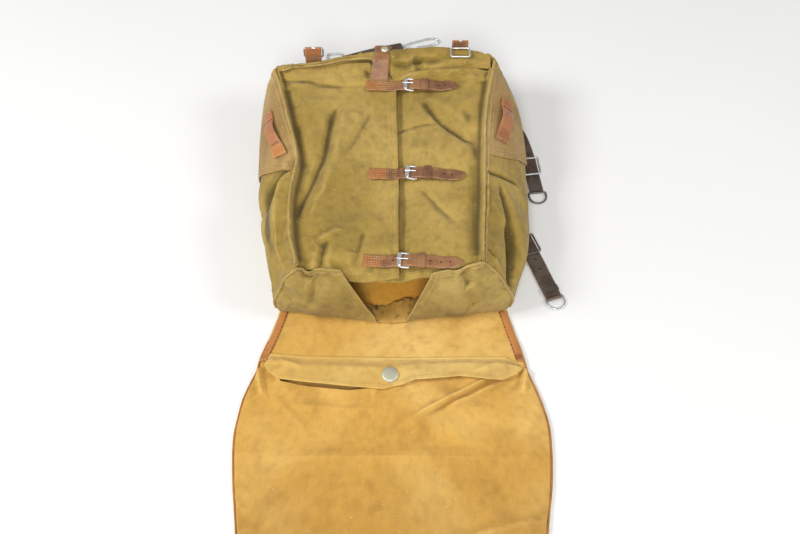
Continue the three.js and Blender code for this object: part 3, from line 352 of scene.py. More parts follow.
# %% [markdown]
# ## Reading a wall's grid from the frame
# Each cloth wall in the frame is a grid of points on its outer face, with the same grid behind it.
# The frame holds it as loose triangles, so the grid has to be found again. The outer face is the
# patch of triangles that can be reached without crossing a sharp edge. On its border every point
# touches three triangles, except the four corners, and from a corner the rows can be read off one
# after the other. A grid is worth this work: it gives smooth resampling, a UV map in metres, and
# the lines where stitches run.

# %% Shells and outer faces
MERGE = 0.002 * MM
SHARP_TURN = 62
TINY = 1e-12


def unit(vectors):
    """Vectors of the same directions with a length of 1."""
    vectors = np.asarray(vectors, float)
    return vectors / np.maximum(np.linalg.norm(vectors, axis=-1, keepdims=True), TINY)


def frame_shell(node):
    """A node's corners with doubles merged, and its triangles."""
    mesh = nodes[node].data
    mesh.calc_loop_triangles()
    places = np.array([v.co for v in mesh.vertices])
    keys = np.round(places / MERGE).astype(np.int64)
    _, first, same = np.unique(keys, axis=0, return_index=True, return_inverse=True)
    triangles = same.reshape(-1)[np.array([t.vertices for t in mesh.loop_triangles])]
    return places[first], triangles


def edges_of(triangle):
    """A triangle's three edges, each with the corner across from it."""
    i, j, k = triangle
    return ((frozenset((i, j)), k), (frozenset((j, k)), i), (frozenset((k, i)), j))


def outer_face(points, triangles, facing, turn):
    """The triangles that can be reached from the one that faces that way best, over no sharp edge."""
    flat_enough = math.cos(math.radians(turn))
    a, b, c = (points[triangles[:, k]] for k in range(3))
    normals = unit(np.cross(b - a, c - a))
    by_edge = defaultdict(list)
    for number, triangle in enumerate(triangles):
        for edge, _ in edges_of(triangle):
            by_edge[edge].append(number)
    seed = int(np.argmax(normals @ unit(facing)))
    found, todo = {seed}, [seed]
    while todo:
        number = todo.pop()
        for edge, _ in edges_of(triangles[number]):
            for other in by_edge[edge]:
                if other not in found and normals[other] @ normals[number] > flat_enough:
                    found.add(other)
                    todo.append(other)
    return triangles[sorted(found)]


print("faces turn by less than", SHARP_TURN, "degrees")

# %% Grids from the frame
def frame_grid(node, facing, start, across, turn=SHARP_TURN):
    """A wall's outer face in rows: from the corner furthest towards start, first row along across."""
    points, triangles = frame_shell(node)
    skin = outer_face(points, triangles, facing, turn)
    touching = Counter(skin.reshape(-1).tolist())
    thirds = defaultdict(list)
    for triangle in skin.tolist():
        for edge, third in edges_of(triangle):
            thirds[edge].append(third)
    border = defaultdict(list)
    for edge, found in thirds.items():
        if len(found) == 1:
            i, j = edge
            border[i].append(j)
            border[j].append(i)
    corners = [p for p in border if touching[p] != 3]
    first = max(corners, key=lambda p: points[p] @ unit(start))
    loop = [first, max(border[first], key=lambda p: unit(points[p] - points[first]) @ unit(across))]
    while loop[-1] != first:
        loop.append(next(p for p in border[loop[-1]] if p != loop[-2]))
    loop.pop()
    columns = next(k for k in range(1, len(loop)) if loop[k] in corners)
    rows = len(loop) // 2 - columns
    left = [loop[-row] for row in range(rows + 1)]
    right = loop[columns:columns + rows + 1]
    grid = [loop[:columns + 1]]
    seen = set(grid[0])
    for row in range(1, rows + 1):
        last = grid[-1]
        pairs = [thirds[frozenset(last[k:k + 2])] for k in range(columns)]
        fresh = [next(p for p in found if p not in seen) for found in pairs]
        grid.append([left[row]] + fresh if touching[first] == 2 else fresh + [right[row]])
        seen.update(grid[-1])
    return points[np.array(grid)]


def strip_grid(node, facing, start, turn=SHARP_TURN):
    """A strip of the frame as rows along its length."""
    grid = frame_grid(node, facing, start, (1, 0, 0), turn)
    return grid if grid.shape[0] > grid.shape[1] else grid.swapaxes(0, 1)


print("grids can be read")

# %% The walls' grids
FLAT = {"facing": UP, "start": (-1, 1, 0), "across": (1, 0, 0)}
BOTTOM = {"facing": (0, 1, 0.1), "start": (-1, 0, -1), "across": (1, 0, 0)}
TOP = {"facing": (0, -1, 0.3), "start": (-1, 0, 1.5), "across": (1, 0, 0)}
LEFT = {"facing": (-1, 0, 0.2), "start": (0, 2, 1), "across": (0, 0, -1)}
RIGHT = {"facing": (1, 0, 0.2), "start": (0, 2, 1), "across": (0, 0, -1)}
WALLS = {
    "side_panel_left": LEFT, "side_panel_right": RIGHT, "back_panel": FLAT, "bottom_panel": BOTTOM,
    "front_panel_left": FLAT, "front_panel_right": FLAT, "top_flap_left": TOP, "top_flap_right": TOP,
    "mouth_facing": FLAT, "side_patch_left": LEFT, "side_patch_right": RIGHT,
    "lid": FLAT, "lid_pocket": FLAT, "pocket_flap": FLAT,
}
outwards = {node: reading["facing"] for node, reading in WALLS.items()}
grids = {node: frame_grid(node, **reading) for node, reading in WALLS.items()}
for node, grid in grids.items():
    print(node, "grid of", grid.shape[0] - 1, "by", grid.shape[1] - 1)

# %% [markdown]
# ## Folds
# A panel goes through four steps. Its grid is resampled along smooth curves, folds are laid on it
# from a short table, a cloth simulation gives it the small wrinkles that sewn canvas has, and then
# it gets its thickness with a rounded rim. The big folds of an old bag have set, so they are given
# one by one: a simulation would put them somewhere else.

# %% Resampling, measuring and folding
CELLS = {
    "back_panel": (32, 32), "bottom_panel": (72, 150), "side_panel": (150, 64), "front_panel": (150, 72),
    "top_flap": (72, 72), "side_patch": (72, 44), "mouth_facing": (30, 90), "lid": (90, 64),
    "lid_pocket": (200, 150),
}
FOLD_STARTS, FOLD_ENDS = (-0.12, 0.18), (0.78, 1.1)


def smooth_through(values, places):
    """Catmull-Rom curve through the rows of an array, at the given places along them."""
    padded = np.concatenate([[2 * values[0] - values[1]], values, [2 * values[-1] - values[-2]]])
    index = np.clip(np.floor(places).astype(int), 0, len(values) - 2)
    t = (places - index).reshape((-1,) + (1,) * (values.ndim - 1))
    a, b, c, d = (padded[index + shift] for shift in range(4))
    cubic = (3 * b - a - 3 * c + d) * t**3
    return 0.5 * (2 * b + (c - a) * t + (2 * a - 5 * b + 4 * c - d) * t**2 + cubic)


def refined(grid, rows, columns):
    """A grid resampled to a number of cells."""
    grid = smooth_through(grid, np.linspace(0, len(grid) - 1, rows + 1))
    turned = smooth_through(grid.swapaxes(0, 1), np.linspace(0, grid.shape[1] - 1, columns + 1))
    return turned.swapaxes(0, 1)


def fine_grid(node, grid):
    """A wall's grid with as many cells as its table says, which is the same for left and right."""
    cells = CELLS.get(node) or CELLS[node.rsplit("_", 1)[0]]
    return refined(grid, *cells)


def turns_of(grid):
    """Normals of a grid on the side that its rows give, each as long as its cell is large."""
    return np.cross(np.gradient(grid, axis=1), np.gradient(grid, axis=0))


def normals_of(grid, facing):
    """Normals of a grid on the side that faces that way, with a length of 1."""
    normals = unit(turns_of(grid))
    return normals if (normals @ unit(facing)).mean() > 0 else -normals


def raised(grid, facing, height):
    """The grid with its points moved outwards, each by its height in metres."""
    return grid + normals_of(grid, facing) * np.asarray(height)[..., None]


def lengths_of(grid):
    """Distances in metres across and along the cloth, from its first column and row."""
    across = np.linalg.norm(np.diff(grid, axis=1), axis=2).cumsum(axis=1)
    along = np.linalg.norm(np.diff(grid, axis=0), axis=2).cumsum(axis=0)
    return np.pad(across, ((0, 0), (1, 0))), np.pad(along, ((1, 0), (0, 0)))


def edge_distances(grid):
    """Distances of a cloth's points from each of its edges, in millimetres."""
    across, along = lengths_of(grid)
    away = {"left": across, "right": across[:, -1:] - across, "top": along, "end": along[-1:] - along}
    return {edge: distances / MM for edge, distances in away.items()}


def bag_xy(grid):
    """X and Y of each point in millimetres, from the middle of the bag."""
    local = (grid - BAG_MIDDLE) / MM
    return local[..., 0], local[..., 1]


def blurred(field, times):
    """A field with each value mixed with its four neighbours, again and again."""
    for _ in range(times):
        wide = np.pad(field, ((1, 1), (1, 1)) + ((0, 0),) * (field.ndim - 2), mode="edge")
        field = (wide[:-2, 1:-1] + wide[2:, 1:-1] + wide[1:-1, :-2] + wide[1:-1, 2:] + field) / 5
    return field


def smoothstep(values, low, high):
    """0 below low, 1 above high, and a soft step between them."""
    t = np.clip((values - low) / (high - low), 0, 1)
    return t * t * (3 - 2 * t)


def read_off(x, table):
    """Metres at each x, from a table of places and of values in millimetres."""
    return np.interp(x, *table) * MM


def fold_field(x, y, table):
    """Height in metres that a table of folds adds at each place. x, y and the table are millimetres.
    A fold runs from x0, y0 to x1, y1. It has a height, a width and a lean to one side."""
    total = np.zeros_like(x)
    for x0, y0, x1, y1, height, width, lean in table:
        run = np.hypot(x1 - x0, y1 - y0)
        share = ((x - x0) * (x1 - x0) + (y - y0) * (y1 - y0)) / run**2
        aside = ((y - y0) * (x1 - x0) - (x - x0) * (y1 - y0)) / run
        hold = smoothstep(share, *FOLD_STARTS) * (1 - smoothstep(share, *FOLD_ENDS))
        total += height * MM * hold * np.exp(-(aside / width) ** 2) * (1 + lean * np.tanh(aside / width))
    return total


print("folding tools ready")

# %% [markdown]
# ## Thickness
# Canvas is two millimetres thick, and its cut edge shows. A wall is built as a closed shell: the
# outer face, the same face behind it, and a rim between them that stands out a little. Solidify
# would do almost this, but here the shell also gets its UV map, and an attribute from how far each
# point stands out of the cloth around it: raised points fade as wear, low ones take dirt and
# painted shade.

# %% Meshes from grids
EDGE_WEAR, RIM_WEAR = 0.6, 0.8
# Blurs and full height for how far a point stands out of its blurred self: raised points fade as wear, low
# points take dirt and painted shade. The broad pair darkens whole valleys.
FINE_WEAR_AND_SHADE = (8, 1.1 * MM)
BROAD_WEAR_AND_SHADE = (14, 3.0 * MM)
panels = {}


def numbered(grid):
    """The numbers of a grid's points in rows, and its faces."""
    rows, columns = grid.shape[:2]
    number = np.arange(rows * columns).reshape(rows, columns)
    quads = np.stack([number[:-1, :-1], number[:-1, 1:], number[1:, 1:], number[1:, :-1]], axis=2)
    return number, quads.reshape(-1, 4)


def smooth_faces(mesh):
    """Lets light run smoothly over all of a mesh's faces."""
    mesh.polygons.foreach_set("use_smooth", np.ones(len(mesh.polygons), bool))


def mesh_piece(name, points, faces, finish=None, edges=(), smooth=True, cut=None, **attributes):
    """A mesh object with its UV map and its attributes."""
    mesh = bpy.data.meshes.new(name)
    faces = faces.tolist() if isinstance(faces, np.ndarray) else faces
    mesh.from_pydata(np.asarray(points).tolist(), edges, faces)
    if smooth:
        smooth_faces(mesh)
    if cut is not None:
        corner = np.empty(len(mesh.loops), np.int32)
        mesh.loops.foreach_get("vertex_index", corner)
        mesh.uv_layers.new(name=CUT_MAP).data.foreach_set("uv", cut[corner].reshape(-1))
    for label, values in attributes.items():
        values = np.asarray(values, np.float32).reshape(-1)
        mesh.attributes.new(label, "FLOAT", "POINT").data.foreach_set("value", values)
    if finish:
        mesh.materials.append(finish)
    mesh.validate()
    piece = bpy.data.objects.new(name, mesh)
    scene.collection.objects.link(piece)
    return piece


def baked(piece):
    """Keeps what a piece's modifiers make of it as its plain mesh."""
    graph = bpy.context.evaluated_depsgraph_get()
    made = bpy.data.meshes.new_from_object(piece.evaluated_get(graph), depsgraph=graph)
    piece.modifiers.clear()
    piece.data = made
    return made


def wall_piece(name, grid, facing, thickness, finish, worn=FINE_WEAR_AND_SHADE, rim=0.45, low=0, **attributes):
    """A closed wall: the grid as its outer face, a copy behind it, and a rounded rim between them.
    Its attribute is how far it stands out of its blurred self, by a number of blurs and a full height:
    raised places fade as wear, low places take dirt and painted shade, and low is added to it."""
    number, quads = numbered(grid)
    count = number.size
    normals = normals_of(grid, facing)
    behind = grid - normals * thickness
    border = np.concatenate([number[0, :-1], number[:-1, -1], number[-1, :0:-1], number[:0:-1, 0]])
    outward = np.zeros_like(grid)
    outward[0] += grid[0] - grid[1]
    outward[-1] += grid[-1] - grid[-2]
    outward[:, 0] += unit(grid[:, 0] - grid[:, 1]) * np.linalg.norm(outward[:, :1], axis=2).max()
    outward[:, -1] += grid[:, -1] - grid[:, -2]
    middle = (grid + behind).reshape(-1, 3)[border] / 2
    middle += unit(outward.reshape(-1, 3)[border]) * thickness * rim
    points = np.concatenate([grid.reshape(-1, 3), behind.reshape(-1, 3), middle])
    ring = 2 * count + np.arange(len(border))
    following = np.roll(np.arange(len(border)), -1)
    front_rim = np.stack([border[following], border, ring, ring[following]], axis=1)
    back_rim = np.stack([ring[following], ring, border + count, border[following] + count], axis=1)
    faces = np.concatenate([quads, quads[:, ::-1] + count, front_rim, back_rim])
    if (normals * turns_of(grid)).sum() < 0:
        faces = faces[:, ::-1]
    cut = np.stack(lengths_of(grid), axis=2).reshape(-1, 2)
    bumps = ((grid - blurred(grid, worn[0])) * normals).sum(axis=2)
    # Raised places read as wear; low places, and a negative low, darken with dirt and painted shade.
    wear = np.clip(bumps / worn[1] + low, -1, 1)
    wear[[0, -1]] = EDGE_WEAR
    wear[:, [0, -1]] = EDGE_WEAR
    wear = blurred(wear, 1).reshape(-1)
    attributes = {label: values.reshape(-1) for label, values in attributes.items()}
    return mesh_piece(
        name, points, faces, finish,
        cut=np.concatenate([cut, cut, cut[border]]),
        wear=np.concatenate([wear, wear, np.full(len(border), RIM_WEAR)]),
        **{label: np.concatenate([values, values, values[border]]) for label, values in attributes.items()},
    )


print("mesh tools ready")

# %% [markdown]
# ## Small wrinkles
# Sewn canvas is never quite flat, because a seam draws it in. The cloth simulation holds the sewn
# edges, gives the cloth a little more length than its place has, and lets it buckle. No point may
# go further than a cap, so the panel stays on its wall. It runs on every second point, and the
# moves are then resampled for the whole grid.

# %% Settling cloth
CANVAS = 2.0 * MM
LIGHT_CANVAS = 1.4 * MM
SETTLING = {
    "bottom_panel": (0.025, 2.5 * MM), "side_panel": (0.022, 3.5 * MM), "front_panel": (0.018, 2.2 * MM),
    "top_flap": (0.02, 2.5 * MM), "lid_pocket": (0.008, 1.8 * MM),
}
SETTLE_FRAMES = 14
LEAST_MOVE = 1e-9
CLOTH = {
    "vertex_group_mass": "held", "quality": 5, "mass": 0.3, "tension_stiffness": 25,
    "compression_stiffness": 25, "shear_stiffness": 8, "bending_stiffness": 1.2, "air_damping": 2,
}


def settle(grid, held, spare, cap, ease=1.0):
    """Lets a grid of cloth buckle between its held edges. Returns the grid moved by no more than cap."""
    coarse = grid[::2, ::2]
    number, quads = numbered(coarse)
    sheet = mesh_piece("settling", coarse.reshape(-1, 3), quads)
    edges = {"top": number[0], "end": number[-1], "left": number[:, 0], "right": number[:, -1]}
    pins = sheet.vertex_groups.new(name="held")
    for edge in held:
        pins.add(edges[edge].tolist(), 1.0, "REPLACE")
    cloth = sheet.modifiers.new("cloth", "CLOTH").settings
    for setting, value in CLOTH.items():
        setattr(cloth, setting, value)
    cloth.shrink_min = -spare
    cloth.effector_weights.gravity = 0
    for moment in range(1, SETTLE_FRAMES + 1):
        scene.frame_set(moment)
    settled = sheet.evaluated_get(bpy.context.evaluated_depsgraph_get())
    moved = np.array([v.co for v in settled.data.vertices]).reshape(coarse.shape) - coarse
    far = np.linalg.norm(moved, axis=2, keepdims=True)
    moved *= cap * np.tanh(far / cap) / np.maximum(far, LEAST_MOVE)
    bpy.data.objects.remove(sheet)
    scene.frame_set(1)
    print("  settled", coarse.shape[:2], "furthest", round(float(far.max()) / MM, 2), "mm")
    moved = refined(moved, grid.shape[0] - 1, grid.shape[1] - 1)
    return grid + moved * np.broadcast_to(ease, grid.shape[:2])[..., None]


print("cloth settles in", SETTLE_FRAMES, "frames")

# %% [markdown]
# ## The bag's walls
# The back lies flat and shows only through the mouth. It is orange tan inside, and the ring of
# faces along its edge is olive like the other walls. The bottom wall rolls over into a soft rim,
# and the side walls bulge. They hold their shape by their seams, so the seams are held while the
# cloth between them settles. The deep creases of the sides are laid first, and dirt and painted
# shade lie in them; on the left wall, bands of painted shadow darken the crease's outer bank too.
# Each row of the table runs along the bag and down the wall. Where a patch and a loop are sewn on,
# the wall stays quiet, so that they keep their seat.

# %% Folds of the bottom and the sides
SIDE_FOLDS = {
    "left": [
        (12, -2, -40, 62, -11.0, 7, 0.4),
        (-8, 13, -142, 30, 8.0, 7, 0.8),
        (-20, 44, -120, 52, -4.0, 12, 0.0),
        (60, 60, -10, 86, -1.8, 9, 0.2),
    ],
    "right": [
        (-30, 28, -92, 50, -8.0, 6, 0.6),
        (-80, 46, -150, 74, -18.0, 10, 0.6),
        (-100, 60, -152, 66, -7.0, 7, 0.2),
        (-40, 12, -140, 28, 2.5, 9, 0.2),
        (-14, 5, -6, 60, -6.0, 4, 0.5),
        (-128, 12, -146, 46, -4.0, 3, 0.5),
        (-140, 16, -152, 46, 5.0, 8, 0.2),
        (50, 70, -20, 86, -1.8, 9, 0.2),
    ],
}
# Bands of painted shadow on the left wall's outer bank, in rows like the folds' table. With the folds' low
# places, divided by the depth below, they darken the sides as dirt and painted shade.
PAINTED_SHADOW_ROWS = {"left": [(18, 6, -32, 69, -6.0, 9, 0.0), (-26, 40, -90, 50, -6.0, 8, 0.0)], "right": []}
DIRT_AND_SHADE_DEPTH = 7 * MM
RIM_FOLDS = [
    (2, 18, 62, 14, -8.0, 4, 0.6),
    (50, 17, 98, 18, -4.0, 3.5, 0.4),
    (30, 24, 37, 2, -4.0, 3.5, 0.2),
    (48, 9, 116, 7, 4.0, 6, 0.0),
    (-140, 9, -40, 8, -2.5, 3, 0.4),
]
RIM_ROLL = (0.68, 1.0)
RIM_REACH = ((-150, -130, -30, -14, 0, 19, 54, 80, 100, 126), (-3, -6, -6, 0, 18, 22, 15, 7, 4, 1))
RIM_SINK = ((-150, -14, 4, 54, 98, 126), (0, 0, 14, 9, 2, 0))
RIM_NOTCH = {"x": 34, "half": 4, "depth": 3.0}
print("folds", sum(len(table) for table in SIDE_FOLDS.values()) + len(RIM_FOLDS))

# %% Back, bottom and sides
PATCH_QUIET = (-12, 14)
PATCH_PLAY = 0.12
BACK_TUCK = 12 * MM
BACK_TUCKED = (-160, -120)
SEAM_EASE, END_EASE = (0, 8), (0, 14)
base = {}
crease_dirt_and_shade = {"bottom_panel": 0}


def sewn_hold(grid):
    """1 where the wall may settle freely, and little under the patch."""
    return PATCH_PLAY + (1 - PATCH_PLAY) * (1 - smoothstep(bag_xy(grid)[1], *PATCH_QUIET))


back = fine_grid("back_panel", grids["back_panel"])
back[..., 1] += BACK_TUCK * (1 - smoothstep(bag_xy(back)[1], *BACK_TUCKED))
panels["back_panel"] = back
bottom = fine_grid("bottom_panel", grids["bottom_panel"])
x = bag_xy(bottom)[0]
rolled = smoothstep(np.linspace(0, 1, len(bottom)), *RIM_ROLL)[:, None]
bottom[..., 1] -= read_off(x, RIM_REACH) * rolled
bottom[..., 2] -= read_off(x, RIM_SINK) * rolled**2
notch = np.exp(-(((x - RIM_NOTCH["x"]) / RIM_NOTCH["half"]) ** 2))
bottom[..., 2] -= RIM_NOTCH["depth"] * MM * notch * rolled
fold = fold_field(x, edge_distances(bottom)["end"], RIM_FOLDS)
bottom = raised(bottom, outwards["bottom_panel"], fold)
panels["bottom_panel"] = settle(bottom, ("top", "left", "right"), *SETTLING["bottom_panel"])
for side in SIDES:
    node = "side_panel_" + side
    wall = fine_grid(node, grids[node])
    base[side] = wall
    along_bag = bag_xy(wall)[1]
    away = edge_distances(wall)
    fold = fold_field(along_bag, away["left"], SIDE_FOLDS[side])
    fold *= smoothstep(away["left"], *SEAM_EASE) * smoothstep(away["end"], *END_EASE)
    # Dirt and painted shade: the creases' low places and the painted shadow bands.
    dirt_and_shade = np.minimum(fold, 0) + fold_field(along_bag, away["left"], PAINTED_SHADOW_ROWS[side])
    crease_dirt_and_shade[node] = dirt_and_shade / DIRT_AND_SHADE_DEPTH
    wall = raised(wall, outwards[node], fold)
    held = ("top", "end", "left", "right")
    panels[node] = settle(wall, held, *SETTLING["side_panel"], sewn_hold(wall))
# Each wall's dirt and painted shade goes into its attribute as low.
for node, low in crease_dirt_and_shade.items():
    wall_piece(node + "_cloth", panels[node], outwards[node], CANVAS, OLIVE, worn=BROAD_WEAR_AND_SHADE, low=low)
back_wall = wall_piece("back_panel_cloth", back, UP, CANVAS, INNER)
back_wall.data.materials.append(OLIVE)
rows, columns = CELLS["back_panel"]
outer = np.ones(len(back_wall.data.polygons), np.int32)
outer[:rows * columns].reshape(rows, columns)[1:-1, 1:-1] = 0
back_wall.data.polygons.foreach_set("material_index", outer)
print("back, bottom and sides made")

# %% [markdown]
# ## The front panels
# Two panels close the front, and the left one laps over the right one. Their upper ends reach under
# the rim, and their lower ends hang a little way into the mouth. The folds that the eye catches
# first are laid from a table: each runs from one place to another, stands out or lies low by its
# height, and leans to one side. The simulation adds the quieter wrinkles. Last come the hems: the
# cloth is doubled there, so it stands out by its own thickness, and the seam pulls a groove into
# it.

# %% Folds and hems of the front
FRONT_FOLDS = {
    "left": [
        (-76, 92, -86, 4, -6.4, 6, -0.6),
        (-85, 14, -116, -78, -5.2, 5.5, -0.5),
        (-66, 96, -74, 8, 2.6, 8, 0.3),
        (-74, 10, -102, -80, 2.0, 7, 0.3),
        (-27, 92, -58, 16, -2.8, 8, -0.5),
        (-80, -112, -87, -158, -5.0, 5.5, 0.5),
        (-36, -98, -44, -146, -3.4, 6, 0.5),
        (-142, 139, -66, 133, -3.4, 4, 0.4),
        (-122, 70, -112, 0, -3.6, 7, -0.2),
        (-60, -96, -88, -112, 1.4, 5, 0.2),
    ],
    "right": [
        (37, 106, 60, 68, -5.0, 5, 0.6),
        (58, 70, 98, 33, -5.2, 5, 0.6),
        (50, 110, 100, 52, 2.8, 8, 0.2),
        (8, 60, 56, 67, -2.8, 5, 0.4),
        (30, -34, 74, -90, -1.8, 5, 0.3),
        (96, 90, 104, 8, -3.6, 6, -0.4),
        (100, 0, 96, -140, -2.0, 6, -0.2),
    ],
}
TOP_REACH = {
    "left": ((-152, -130, -90, -20, 3), (4, 7, 10, 10, 9)),
    "right": ((-20, 8, 30, 54, 90, 122), (-8, -12, -9, -5, -2, 0)),
}
TOP_RISE = {
    "left": ((-152, -136, -90, 2), (0, 3, 6, 6)),
    "right": ((0, 10, 54, 98, 128), (8, 9, 7, 4, 0)),
}
TOP_RUN = (128, 158)
HANG_START, HANG_RUN = -130, 28
HANG_MOST = 1.2
HANG_DROP = {
    "left": ((-110, -62, -44, -20, 4), (15, 25, 20, 9, 4)),
    "right": ((0, 30, 44, 60, 104), (4, 10, 15, 18, 15)),
}
END_REACH = {"left": ((-110, -60, -40), (8.5, 3, 0)), "right": ((36, 50, 104), (0, 4.5, 4.5))}
SEAM_DIP, DIP_STARTS, DIP_ENDS = 6.0, (0, 3), (4, 22)
LOOSE_RUN = (6, 44)
STRAP_ZONE = {"aside": (12, 19), "past": 4, "tab": (-27, 1), "tab_from": 137}
HEM_RISE = 1.6 * MM
HEM_STEP, HEM_GROOVE, GROOVE_SHARE = 0.8, 1.5, 0.6
HEMS = {"left": (32, 20), "right": (17, 7), "free": (10, 7.5), "end": (11, 8.5)}
LAP_ROOM, LAP_RUN = 4.5, (6, 24)
LEVELS = ("upper", "middle", "lower")


def hem(distance, width, seam):
    """Height of a doubled edge: distance from the edge, width of the hem and place of its seam in mm."""
    rise = HEM_RISE * (1 - smoothstep(distance, width - HEM_STEP, width + HEM_STEP))
    return rise - GROOVE_SHARE * HEM_RISE * np.exp(-(((distance - seam) / HEM_GROOVE) ** 2))


def strap_zone(x, y):
    """1 under the closure straps and the centre tab, where nothing may stand out, and 0 away from them."""
    from_x, to_x = STRAP_ZONE["tab"]
    past = STRAP_ZONE["past"]
    zone = ((x > from_x) & (x < to_x) & (y > STRAP_ZONE["tab_from"])).astype(float)
    for level in LEVELS:
        strap = strip_grid("closure_strap_" + level, UP, (-1, 0.1, 0)).mean(axis=1)
        strap_x, strap_y = bag_xy(strap)
        aside = np.abs(y - np.interp(x, strap_x, strap_y))
        inside = (x > strap_x[0] - past) & (x < strap_x[-1] + past)
        zone = np.maximum(zone, inside * (1 - smoothstep(aside, *STRAP_ZONE["aside"])))
    return blurred(zone, 3)


print("folds", sum(len(table) for table in FRONT_FOLDS.values()), "and", len(HEMS), "kinds of hem")

# %% Front panels
for side in SIDES:
    node = "front_panel_" + side
    wall = fine_grid(node, grids[node])
    x, y = bag_xy(wall)
    flat_height = wall[..., 2].copy()
    near_top = smoothstep(y, *TOP_RUN)
    wall[..., 1] += read_off(x, TOP_REACH[side]) * near_top
    wall[..., 2] += read_off(x, TOP_RISE[side]) * near_top
    hanging = np.clip((HANG_START - y) / HANG_RUN, 0, HANG_MOST) ** 2
    wall[..., 2] -= read_off(x, HANG_DROP[side]) * hanging
    if side == "right":
        wall[..., 2] -= LAP_ROOM * MM * (1 - smoothstep(x, *LAP_RUN))
    wall[..., 2] += fold_field(x, y, FRONT_FOLDS[side])
    near_end = smoothstep(-y, -HANG_START, -HANG_START + HANG_RUN)
    wall[..., 1] -= read_off(x, END_REACH[side]) * near_end
    away = edge_distances(wall)
    loose = smoothstep(away[side], *LOOSE_RUN)
    wall = settle(wall, (side, "top", "end"), *SETTLING["front_panel"], loose)
    dip = smoothstep(away[side], *DIP_STARTS) * (1 - smoothstep(away[side], *DIP_ENDS))
    wall[..., 2] -= SEAM_DIP * MM * dip
    rise = hem(away["top"], *HEMS[side]) + hem(away["end"], *HEMS["end"])
    if side == "left":
        rise = np.maximum(rise, hem(away["right"], *HEMS["free"]))
    wall = raised(wall, UP, rise)
    over = np.maximum(wall[..., 2] - flat_height, 0)
    wall[..., 2] -= over * strap_zone(x, y)
    panels[node] = wall
    wall_piece(node + "_cloth", wall, UP, CANVAS, OLIVE)
print("front panels made")

# %% [markdown]
# ## Top flaps, mouth facing and side patches
# The mouth is closed from both sides by two flaps that leave a V between them. A worn strip of
# facing shows inside it. Patches of a heavier, browner canvas carry the leather loops. A patch is
# sewn into the seam, so its first column moves up to it, and it follows what the wall under it did
# when it settled.

# %% Top flaps, facing and patches
FLAP_FOLDS = {
    "left": [
        (-104, 2, -122, 40, 2.4, 7, 0.3),
        (-84, 6, -96, 60, -3.4, 7, 0.3),
        (-106, 2, -92, 12, -5.0, 4, 0.3),
        (-60, 20, -100, 88, 1.6, 14, 0.2),
    ],
    "right": [
        (94, 4, 118, 44, 2.6, 7, 0.3),
        (82, 4, 92, 30, -6.0, 6, 0.5),
        (88, 30, 100, 70, -2.4, 8, 0.2),
        (50, 26, 96, 90, 1.6, 14, 0.2),
    ],
}
FLAP_HEMS = {"top": (9, 6.5), "free": (9, 5.5)}
PATCH_TO_SEAM = 0.72
PATCH_LIFT = 0.5 * MM
FACING_TOP = ((-44, -38, -16, 7, 29, 38, 48), (-158, -157, -155, -151, -143, -137, -133))
FACING_LAP = ((-26, -16, -4, 8, 16, 26), (0, 9, 11, 10, 9, 0))
FACING_RAG = 0.8
RAG_WAVES = ((0.9, 0), (0.37, 1), (1.9, 2))


def follow(points, side):
    """Moves points as the side wall's nearest points moved when it was folded and settled."""
    still = base[side].reshape(-1, 3)
    moved = (panels["side_panel_" + side] - base[side]).reshape(-1, 3)
    nearest = [int(np.argmin(((still - point) ** 2).sum(axis=1))) for point in points.reshape(-1, 3)]
    return points + moved[nearest].reshape(points.shape)


for side in SIDES:
    node = "top_flap_" + side
    wall = fine_grid(node, grids[node])
    fold = fold_field(bag_xy(wall)[0], edge_distances(wall)["top"], FLAP_FOLDS[side])
    wall = raised(wall, outwards[node], fold)
    wall = settle(wall, ("top", "end", side), *SETTLING["top_flap"])
    away = edge_distances(wall)
    rise = np.maximum(hem(away["top"], *FLAP_HEMS["top"]), hem(away[OTHER[side]], *FLAP_HEMS["free"]))
    panels[node] = raised(wall, outwards[node], rise)
    wall_piece(node + "_cloth", panels[node], outwards[node], CANVAS, FLAP_OLIVE)
    node = "side_patch_" + side
    patch = grids[node].copy()
    seam = grids["side_panel_" + side][:, 0]
    seam = seam[np.argsort(seam[:, 1])]
    beside = np.stack([np.interp(patch[:, 0, 1], seam[:, 1], seam[:, k]) for k in range(3)], axis=1)
    patch[:, 0] += (beside - patch[:, 0]) * PATCH_TO_SEAM
    panels[node] = raised(follow(fine_grid(node, patch), side), outwards[node], PATCH_LIFT)
    wall_piece(node + "_cloth", panels[node], outwards[node], LIGHT_CANVAS, PATCH)
facing_strip = fine_grid("mouth_facing", grids["mouth_facing"])
x = bag_xy(facing_strip)[0]
ragged = FACING_RAG * sum(np.sin(x * pace + start) for pace, start in RAG_WAVES)
upper_edge = (np.interp(x, *FACING_TOP) + ragged) * MM + BAG_MIDDLE[1]
share = np.linspace(0, 1, len(facing_strip))[:, None]
lower_edge = facing_strip[-1:, :, 1] - read_off(x[-1:], FACING_LAP)
facing_strip[..., 1] = upper_edge * (1 - share) + lower_edge * share
panels["mouth_facing"] = facing_strip
wall_piece("mouth_facing_cloth", facing_strip, UP, LIGHT_CANVAS, FACING)
print("flaps, facing and patches made")

# %% [markdown]
# ## The lid and its pocket
# The lid lies with its lining up. Its pocket is a second layer that stands up in folds below the
# mouth, and a long flap with a button closes it. The folds of the pocket come from a table again.
# The flap is drawn between two lines, and it gapes where the pocket's lip has sunk under it.

